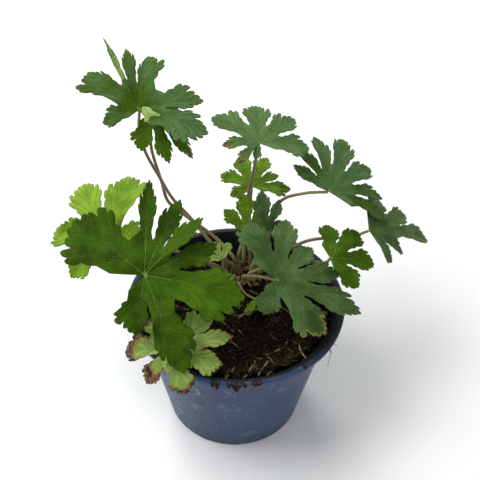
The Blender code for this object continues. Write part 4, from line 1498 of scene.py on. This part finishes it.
soil_low = POT_FLOOR + FIT_GAP + SOIL_EDGE_ROUND
soil_high = SOIL_LEVEL - SOIL_EDGE_ROUND
soil_edge = inner_radius(soil_high) - FIT_GAP
soil_foot = inner_radius(soil_low) - FIT_GAP
soil_profile = [(0, POT_FLOOR + FIT_GAP), (soil_foot - SOIL_EDGE_ROUND, POT_FLOOR + FIT_GAP)]
soil_profile += [(soil_foot, soil_low), (soil_edge, soil_high)]
for ring in range(SOIL_RINGS, 0, -1):
    soil_profile.append((soil_edge * ring / SOIL_RINGS - FIT_GAP, SOIL_LEVEL))
soil_profile.append((0, SOIL_LEVEL))
soil = turned_shape("soil_bed", soil_profile, SOIL_STEPS)
for vert in soil.data.vertices:
    if vert.co.z > SOIL_LEVEL - FIT_GAP:
        vert.co.z = soil_height(vert.co.x, vert.co.y)
soil.data.shade_smooth()


def compost_finish(name, dark, light, roughness=0.92):
    """Rough and grainy, from a dark tone to a light one."""
    material, tree, shader = new_material(name, roughness, Specular_IOR_Level=0.1)
    fine = placed_group(tree, MOTTLE, Size=1.1 * MM, Detail=5.0)
    broad = placed_group(tree, MOTTLE, Size=9 * MM, Detail=3.0)
    paint(tree, shader, mixed(tree, scaled(tree, fine, broad), dark, light), fine, 0.25 * MM)
    return material


soil.data.materials.append(compost_finish("compost", colour(5, 4, 3), colour(30, 22, 13)))
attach(soil, "root")
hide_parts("soil")
print("soil faces:", len(soil.data.polygons))

# %% [markdown]
# Loose crumbs and fibres are scattered by one node tree: it spreads points over the soil, sets one
# of a few small shapes on each with a random turn and size, and gives each its own tone.

# %% The scatter tree
TONE_SEED = 5


def make_scatter_tree():
    """Lays one shape on the faces of a base that look up enough, turned and sized by chance."""
    tree, given, out = new_tree(
        "Scatter",
        "GeometryNodeTree",
        {
            "Geometry": "Geometry",
            "Shape": "Object",
            "Density": "Float",
            "Smallest": "Float",
            "Largest": "Float",
            "Tilt": "Float",
            "Least up": "Float",
            "Seed": "Int",
            "Finish": "Material",
        },
        {"Geometry": "Geometry"},
    )
    normal = link_node(tree, "GeometryNodeInputNormal")
    upward = link_node(tree, "ShaderNodeSeparateXYZ", {0: normal}).outputs["Z"]
    chosen = link_node(
        tree, "FunctionNodeCompare", {0: upward, 1: given["Least up"]}, operation="GREATER_THAN"
    )
    inputs = {"Mesh": given["Geometry"], "Selection": chosen}
    drawn = {"Density": given["Density"], "Seed": given["Seed"]}
    spread = link_node(tree, "GeometryNodeDistributePointsOnFaces", {**inputs, **drawn})
    shape = link_node(tree, "GeometryNodeObjectInfo", {"Object": given["Shape"]})
    low = scaled(tree, given["Tilt"], -1.0)
    least = link_node(tree, "ShaderNodeCombineXYZ", {0: low, 1: low, 2: 0.0})
    most = link_node(tree, "ShaderNodeCombineXYZ", {0: given["Tilt"], 1: given["Tilt"], 2: math.tau})
    turn = random_vector(tree, least, most, given["Seed"])
    size = random_number(tree, given["Smallest"], given["Largest"], given["Seed"])
    laid = link_node(
        tree,
        "GeometryNodeInstanceOnPoints",
        {"Points": spread, "Instance": shape.outputs["Geometry"], "Rotation": turn, "Scale": size},
    )
    tone = random_number(tree, 0.0, 1.0, TONE_SEED)
    toned = store_value(tree, laid, "tone", tone, "INSTANCE")
    real = link_node(tree, "GeometryNodeRealizeInstances", {"Geometry": toned})
    painted = link_node(
        tree, "GeometryNodeSetMaterial", {"Geometry": real, "Material": given["Finish"]}
    )
    tree.links.new(painted.outputs[0], out[0])
    return tree


SCATTER_TREE = make_scatter_tree()
print("scatter tree nodes:", len(SCATTER_TREE.nodes))

# %% Crumbs and fibres
CRUMB_ROUGH = 0.7
CRUMB_ROUGH_SIZE = 2.3
CRUMB_FLAT = 0.7
FIBRE_END = 0.35
FIBRE_WAVE = 0.05
FIBRE_WAVES = 2.4


def crumb_shape(name, seed):
    """One rough crumb about 1 m across, scaled down where it is laid."""
    mesh = bmesh.new()
    bmesh.ops.create_icosphere(mesh, subdivisions=1, radius=0.5)
    for vert in mesh.verts:
        vert.co *= 1 + CRUMB_ROUGH * noise.noise(vert.co * CRUMB_ROUGH_SIZE + Vector((seed, 0, 0)))
        vert.co.z *= CRUMB_FLAT
    return mesh_object(name, mesh)


def fibre_shape(name, bow, breadth, steps=6):
    """One flat bowed fibre 1 m long, lying along X."""
    mesh = bmesh.new()
    rows = []
    for step in range(steps + 1):
        share = step / steps
        wide = breadth * (FIBRE_END + (1 - FIBRE_END) * math.sin(math.pi * share) ** 0.6)
        y = bow * math.sin(math.pi * share)
        z = FIBRE_WAVE * math.sin(FIBRE_WAVES * math.pi * share)
        ring = [(y - wide, z), (y, z + breadth), (y + wide, z), (y, z - breadth)]
        rows.append([mesh.verts.new((share - 0.5, *corner)) for corner in ring])
    for low, high in zip(rows, rows[1:]):
        for side in range(4):
            after = (side + 1) % 4
            mesh.faces.new((low[side], low[after], high[after], high[side]))
    mesh.faces.new(rows[0][::-1])
    mesh.faces.new(rows[-1])
    bmesh.ops.recalc_face_normals(mesh, faces=mesh.faces)
    return mesh_object(name, mesh)


def toned_finish(name, dark, light, roughness):
    """A finish whose colour follows each loose piece's own stored tone."""
    material, tree, shader = new_material(name, roughness, Specular_IOR_Level=0.15)
    tone = link_node(tree, "ShaderNodeAttribute", attribute_name="tone").outputs["Fac"]
    patches = placed_group(tree, MOTTLE, Size=1.6 * MM, Detail=3.0)
    base = mixed(tree, tone, dark, light)
    worn = mixed(tree, 0.5, base, dark)
    paint(tree, shader, mixed(tree, patches, worn, base), patches, 0.1 * MM)
    return material


def scatter(name, base, slot, seed, least_up, shape, density, smallest, largest, tilt, finish):
    """Scatters a shape over a base, as one piece. The shape isn't needed after that."""
    made = run_tree(
        name,
        base,
        SCATTER_TREE,
        Shape=shape,
        Density=density,
        Smallest=smallest,
        Largest=largest,
        Tilt=tilt,
        Least_up=least_up,
        Seed=seed,
        Finish=finish,
    )
    bpy.data.objects.remove(shape)
    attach(made, "root")
    print(name, "faces:", len(made.data.polygons))


CRUMB_DARK = toned_finish("crumb_dark", colour(5, 4, 3), colour(40, 30, 20), 0.9)
FIBRE_TAN = toned_finish("fibre_tan", colour(14, 11, 6), colour(92, 78, 44), 0.8)
STRAW_PALE = toned_finish("straw_pale", colour(92, 82, 48), colour(150, 136, 92), 0.7)
LOOKING_UP = 0.3
SCATTERS = {
    "soil_crumbs": (crumb_shape("crumb", 3.1), 5.5e5, 0.5 * MM, 1.9 * MM, 1.5, CRUMB_DARK),
    "soil_clods": (crumb_shape("clod", 8.4), 3.5e4, 2.0 * MM, 4.2 * MM, 1.5, CRUMB_DARK),
    "soil_fibres": (fibre_shape("fibre", 0.08, 0.036), 5.5e4, 4 * MM, 11 * MM, 0.32, FIBRE_TAN),
    "soil_chips": (fibre_shape("chip", 0.03, 0.075), 5e4, 3 * MM, 8 * MM, 0.4, FIBRE_TAN),
    "soil_straws": (fibre_shape("straw", 0.05, 0.055), 1.0e4, 5 * MM, 13 * MM, 0.25, STRAW_PALE),
}
for number, (name, row) in enumerate(SCATTERS.items(), start=1):
    scatter(name, soil, "soil", number, LOOKING_UP, *row)

# %% [markdown]
# The crown is a short knobbly stub. Dry pointed scales, left by older stalks, stand round it.

# %% The crown
CROWN_RADIUS = 3.6 * MM
CROWN_TOP = 10 * MM
CROWN_DEPTH = 12 * MM
CROWN_LEVELS = 26
CROWN_SIDES = 32
CROWN_SWELL = 0.25
CROWN_WAVES = 9
CROWN_NARROWS_AT = 0.9
CROWN_LUMPS = 0.08
CROWN_BARK = 0.12
CROWN_BARK_SIZE = 1.4 * MM


def make_crown():
    """A barrel of rings that swells twice on its way up, with three soft lumps round it."""
    low = SOIL_LEVEL - CROWN_DEPTH
    height = CROWN_TOP + CROWN_DEPTH
    mesh = bmesh.new()
    rings = []
    for level in range(CROWN_LEVELS):
        share = level / (CROWN_LEVELS - 1)
        waves = 1 + CROWN_SWELL * math.sin(share * CROWN_WAVES)
        swell = waves * min(1, 1 - 4 * (share - CROWN_NARROWS_AT))
        barrel = (1 + math.sin(math.pi * (0.15 + 0.7 * share))) / 2
        ring = []
        for side in range(CROWN_SIDES):
            turn = math.tau * side / CROWN_SIDES
            radius = CROWN_RADIUS * swell * barrel * (1 + CROWN_LUMPS * math.sin(3 * turn + 5 * share))
            middle = Vector((CROWN.x, CROWN.y, low + height * share))
            x = CROWN.x + radius * math.cos(turn)
            y = CROWN.y + radius * math.sin(turn)
            place = Vector((x, y, middle.z))
            rough = 1 + CROWN_BARK * noise.noise(place / CROWN_BARK_SIZE)
            ring.append(mesh.verts.new(middle.lerp(place, rough)))
        rings.append(ring)
    for lower, upper in zip(rings, rings[1:]):
        for side in range(CROWN_SIDES):
            after = (side + 1) % CROWN_SIDES
            mesh.faces.new((lower[side], lower[after], upper[after], upper[side]))
    mesh.faces.new(rings[0][::-1])
    mesh.faces.new(rings[-1])
    return mesh_object("crown_stub", mesh)


crown = make_crown()
crown.data.shade_smooth()
crown.data.materials.append(compost_finish("crown_bark", colour(54, 42, 28), colour(112, 92, 62), 0.8))
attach(crown, "root")
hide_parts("crown")
print("crown faces:", len(crown.data.polygons))

# %% [markdown]
# Papery scales sheathe the feet of the stalks, and crumbs of compost cling to the pot's lip in
# front. Both come from the same scatter tree, run on small patches that say where they sit.

# %% Scales and clinging crumbs
CLINGING = (
    (-12, 2.6, 3.4), (-9.5, 2.6, 4.6), (-3, 3, 2), (1.5, 6, 5), (6, 2.4, 2), (13, 6, 1.4), (40, 2, 1),
)
CLING_OUT = 0.1 * MM
CLING_TOP = POT_HEIGHT - 0.3 * MM
CLING_INSET = -2.4 * MM
CLING_LOW = POT_HEIGHT - 0.4 * MM
CLING_HIGH = POT_HEIGHT + 0.1 * MM
SCALES_REACH = 11 * MM
ANY_WAY = -2.0


def patch_object(name, corners):
    """A patch of four-cornered faces, from each face's corners."""
    points = [point for face in corners for point in face]
    faces = [tuple(range(4 * number, 4 * number + 4)) for number in range(len(corners))]
    data = bpy.data.meshes.new(name)
    data.from_pydata([tuple(point) for point in points], [], faces)
    return add_object(name, data)


def lip_patch(middle, width, corners):
    """A patch on the pot's lip, its middle at x = middle and as wide as width, both in mm, from
    corners of side, distance out from the rim, and height."""
    turn = math.asin(middle * MM / POT_RIM_RADIUS)
    half = width * MM / 2 / POT_RIM_RADIUS
    points = []
    for side, out, height in corners:
        place = turn + side * half
        radius = POT_RIM_RADIUS + out
        points.append((radius * math.sin(place), -radius * math.cos(place), height))
    return points


lip_patches = []
for middle, width, depth in CLINGING:
    bottom = CLING_TOP - depth * MM
    upper = [(-1, CLING_OUT, CLING_TOP), (1, CLING_OUT, CLING_TOP)]
    lower = [(0.3, CLING_OUT, bottom), (-0.3, CLING_OUT, bottom)]
    lip_patches.append(lip_patch(middle, width, upper + lower))
for middle, width, _ in CLINGING:
    outer = [(-1, 0, CLING_LOW), (1, 0, CLING_LOW)]
    inner = [(1, CLING_INSET, CLING_HIGH), (-1, CLING_INSET, CLING_HIGH)]
    lip_patches.append(lip_patch(middle, width, outer + inner))
lip = patch_object("lip_patch", lip_patches)
square = []
for x, y in ((-1, -1), (1, -1), (1, 1), (-1, 1)):
    square.append((CROWN.x + x * SCALES_REACH, CROWN.y + y * SCALES_REACH, SOIL_LEVEL + 5 * MM))
foot = patch_object("foot_patch", [square])
PAPER = toned_finish("papery_scale", colour(112, 94, 56), colour(204, 188, 136), 0.75)
CRUMB_BROWN = toned_finish("crumb_brown", colour(20, 15, 11), colour(74, 52, 36), 0.9)
crumb = crumb_shape("lip_crumb", 5.7)
scale = fibre_shape("scale", 0.05, 0.14)
LOOSE = {
    "lip_crumbs": (lip, "soil", crumb, 3.5e6, 0.3 * MM, 1.1 * MM, 1.5, CRUMB_BROWN),
    "crown_scales": (foot, "crown", scale, 1.7e5, 3 * MM, 7 * MM, 0.9, PAPER),
}
for number, (name, (patch, slot, *row)) in enumerate(LOOSE.items(), start=7):
    scatter(name, patch, slot, number, ANY_WAY, *row)
    bpy.data.objects.remove(patch)

# %% [markdown]
# One long pale straw lies on the soil, and three thin dry strands of grass hang over the rim. Each
# is a path, turned into a tube by the stalk's own tree with its hairs left out.

# %% Straw and strands
GRASS_DRY = toned_finish("strand_dark", colour(40, 34, 22), colour(84, 72, 48), 0.7)
STRANDS = {
    "straw_long": (0.5, 0.32, STRAW_PALE, [(8, 16, 80), (24, 5, 80.5), (35, -6, 80.5), (39, -18, 80)]),
    "strand_left": (0.26, 0.14, GRASS_DRY, [(46, -20, 80), (50, -33, 90), (54, -38, 89), (57, -40, 85)]),
    "strand_low": (0.22, 0.12, GRASS_DRY, [(47, -27, 80), (51, -35, 90), (54.5, -38.5, 88), (54, -36, 70)]),
    "strand_right": (0.22, 0.12, GRASS_DRY, [(48, -26, 81), (53, -32, 89.5), (57, -35, 90), (60, -37, 89)]),
}
for name, (foot_radius, top_radius, finish, points) in STRANDS.items():
    path = path_object(name + "_path", smooth_run([Vector(point) * MM for point in points], STALK_STEP))
    made = run_tree(
        name,
        path,
        STALK_TREE,
        Foot_radius=foot_radius * MM,
        Top_radius=top_radius * MM,
        Hairs=0.0,
        Hair_length=0.5 * MM,
        Seed=1,
        Stalk_finish=finish,
        Hair_finish=finish,
    )
    bpy.data.objects.remove(path)
    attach(made, "root")
print("strands:", len(STRANDS))

# %% [markdown]
# A pale round bud sits by the smallest leaf, and a pale stone lies under the front right leaf. Each
# is a small ball, pushed out of round by steady noise.

# %% Bud and stone
BUD_GREEN = toned_finish("bud_green", colour(112, 122, 70), colour(168, 164, 116), 0.6)
STONE_PALE = toned_finish("stone_pale", colour(112, 112, 104), colour(164, 164, 156), 0.7)
BALL_ROUGH = 0.22
BALL_ROUGH_SIZE = 1.7
BALLS = {
    "bud_pale": ((7.5, -1.0, 79.0), (2.6, 2.3, 2.4), BUD_GREEN, record_slot("leaf_young_front")),
    "stone_pale": ((52.5, -6.5, 84.9), (2.0, 1.6, 1.4), STONE_PALE, "soil"),
}
for name, (place, sides, finish, slot) in BALLS.items():
    ball = bmesh.new()
    bmesh.ops.create_icosphere(ball, subdivisions=4, radius=1)
    for vert in ball.verts:
        push = 1 + BALL_ROUGH * noise.noise(vert.co * BALL_ROUGH_SIZE + Vector(place))
        vert.co = (Vector(place) + Vector(side * part * push for side, part in zip(sides, vert.co))) * MM
    made = mesh_object(name, ball)
    made.data.shade_smooth()
    made.data.materials.append(finish)
    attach(made, "root")
print("balls:", len(BALLS))
